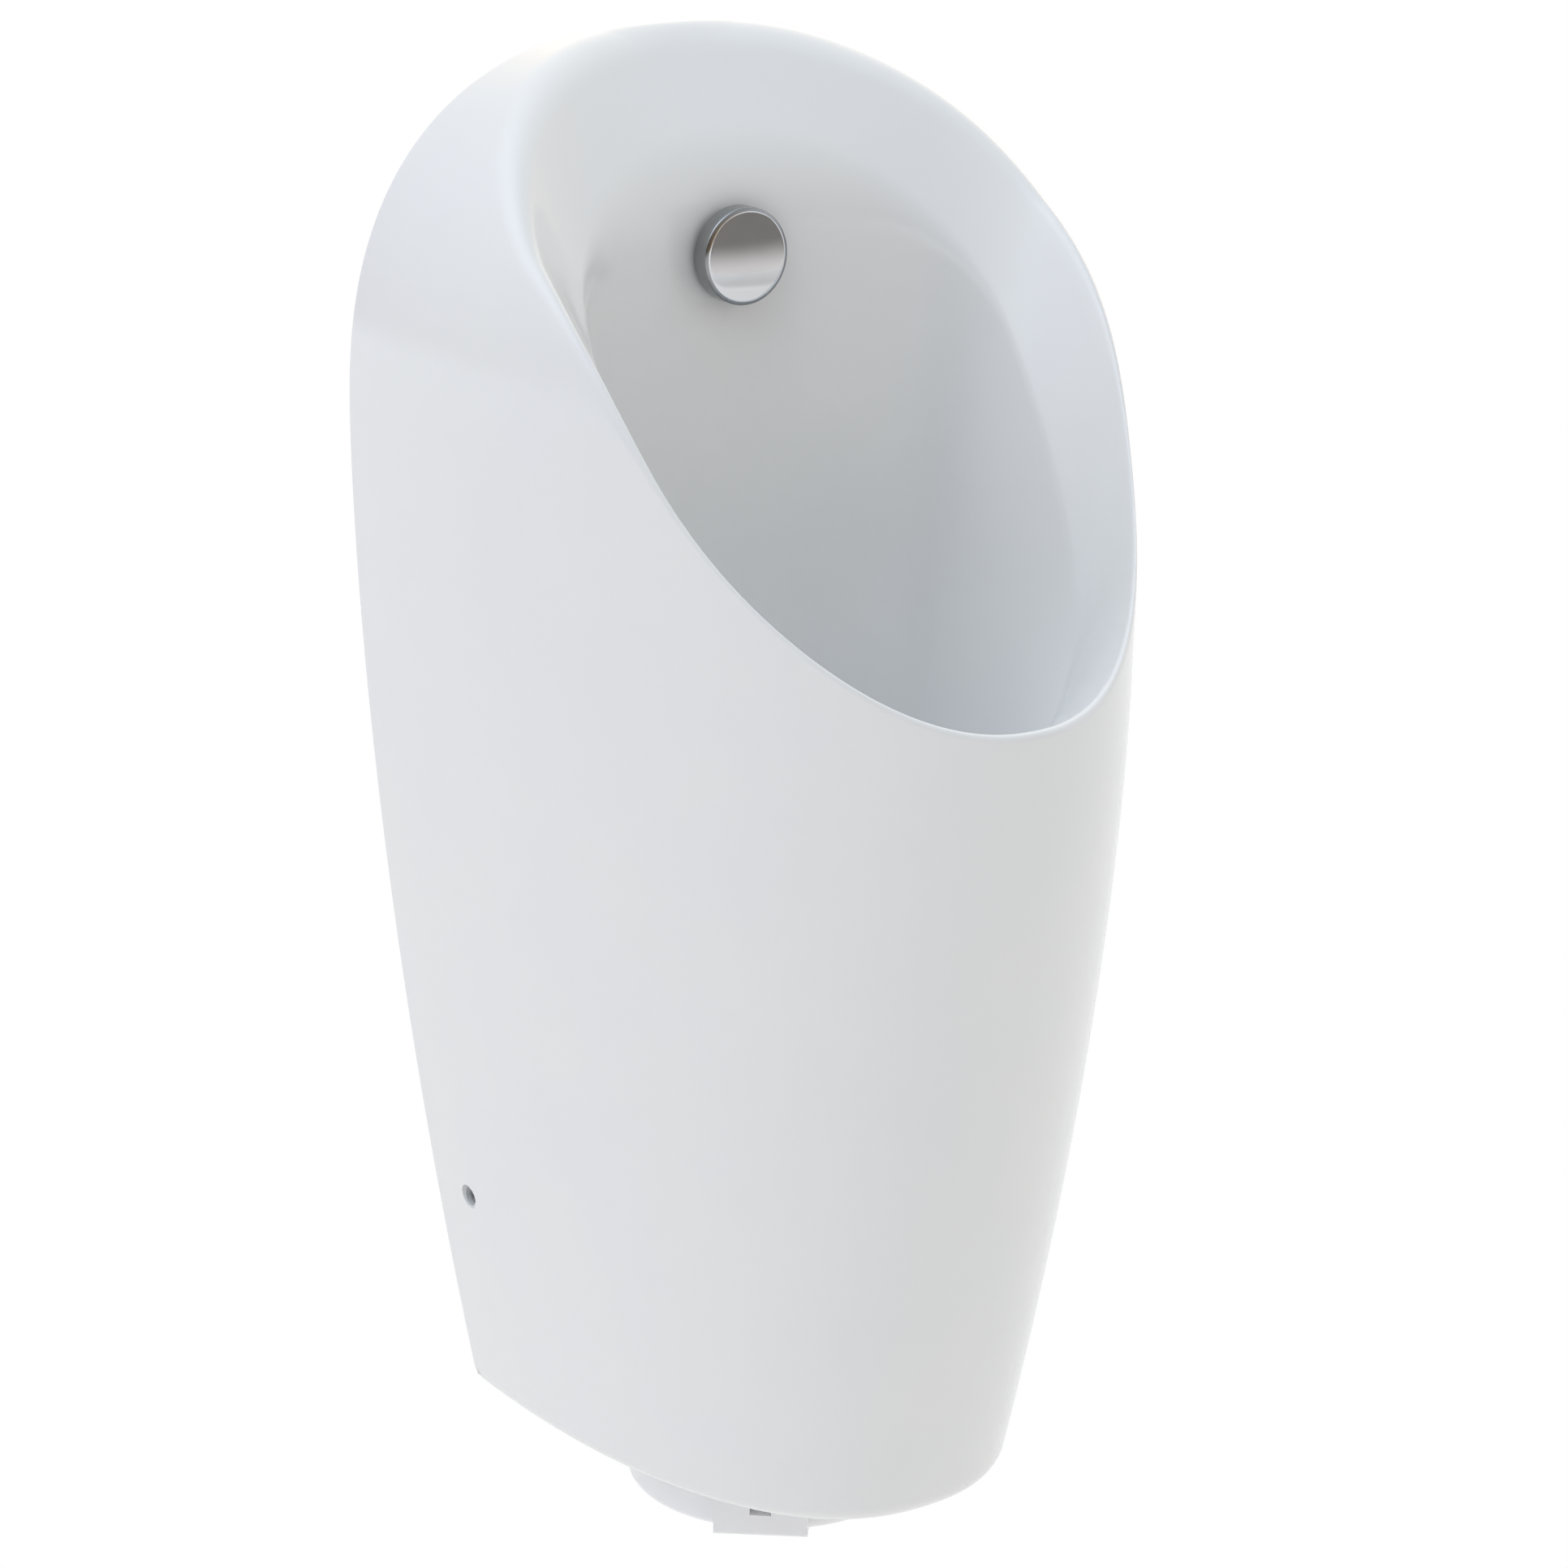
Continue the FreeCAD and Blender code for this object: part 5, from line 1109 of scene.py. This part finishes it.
    def floor(self) -> None:
        """A pale floor far below, white to the camera."""
        material = bpy.data.materials.new("matt_white_floor_paint")
        tree = empty_tree(material)
        place = add_node(tree, "ShaderNodeTexCoord")
        noise = add_node(tree, "ShaderNodeTexNoise", {
            "Vector": place.outputs["Object"], "Scale": self.floor_grain})
        bump = add_node(tree, "ShaderNodeBump", {
            "Height": noise.outputs["Fac"], "Strength": self.floor_relief,
            "Distance": self.grain_height})
        paint = add_node(tree, "ShaderNodeBsdfDiffuse", {
            "Color": linear(self.floor_colour), "Normal": bump.outputs["Normal"]})
        glow = add_node(tree, "ShaderNodeEmission", {"Color": (1.0, 1.0, 1.0, 1.0), "Strength": 1.0})
        mixed = add_node(tree, "ShaderNodeMixShader", {
            0: self.seen(tree), 1: paint.outputs[0], 2: glow.outputs[0]})
        add_node(tree, "ShaderNodeOutputMaterial", {"Surface": mixed.outputs[0]})
        side = self.floor_side
        corners = [(x * side, y * side, self.floor_height) for x, y in ((-1, -1), (1, -1), (1, 1), (-1, 1))]
        self.panel("floor", corners, material)

    def card(self) -> None:
        """A grey card in front on the right, which darkens the upper half of the spray head's face."""
        material = bpy.data.materials.new("grey_studio_card")
        tree = empty_tree(material)
        (x, y), (half, low, high) = self.card_place, self.card_size
        pale, grey = self.card_colours
        place = add_node(tree, "ShaderNodeTexCoord")
        axes = add_node(tree, "ShaderNodeSeparateXYZ", {"Vector": place.outputs["Object"]})
        fade = add_node(tree, "ShaderNodeMapRange", {
            "Value": axes.outputs["Z"], "From Min": low, "From Max": low + self.card_fade},
            interpolation_type="SMOOTHSTEP")
        tone = add_node(tree, "ShaderNodeMix", {
            MIX_SHARE: fade.outputs["Result"], MIX_FIRST: linear(pale), MIX_SECOND: linear(grey)},
            data_type="RGBA")
        paper = add_node(tree, "ShaderNodeBsdfDiffuse", {"Color": tone.outputs[MIX_RESULT]})
        add_node(tree, "ShaderNodeOutputMaterial", {"Surface": paper.outputs["BSDF"]})
        along = Vector((-y, x)).normalized() * half
        corners = [(x + way * along.x, y + way * along.y, z)
                   for way, z in ((-1, low), (1, low), (1, high), (-1, high))]
        card = self.panel("grey_card", corners, material)
        card.visible_camera = False

    def build(self) -> None:
        """Sets up the whole studio."""
        bpy.context.scene.view_settings.view_transform = "Standard"
        self.world()
        self.floor()
        self.card()
        self.shoot()


def dress_nodes(frame: dict[str, Any]) -> None:
    """Gives every CAD node its finish.

    Args:
        frame: the loaded frame.
    """
    for kind, nodes in NODE_FINISHES.items():
        for name in nodes:
            mesh = frame["nodes"][name].data
            mesh.materials.clear()
            mesh.materials.append(kind.value.build())


def main(frame: dict[str, Any]) -> None:
    """Builds the urinal in order and logs each piece.

    Args:
        frame: the loaded frame.
    """
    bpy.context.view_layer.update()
    dress_nodes(frame)
    for maker in (China(), SprayHead(), ClosingSpring()):
        piece = maker.build()
        log.info("%s: %d faces", piece.name, len(piece.data.polygons))
    Studio().build()


if __name__ == "__main__":
    logging.basicConfig(level=logging.INFO)
    main(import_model())
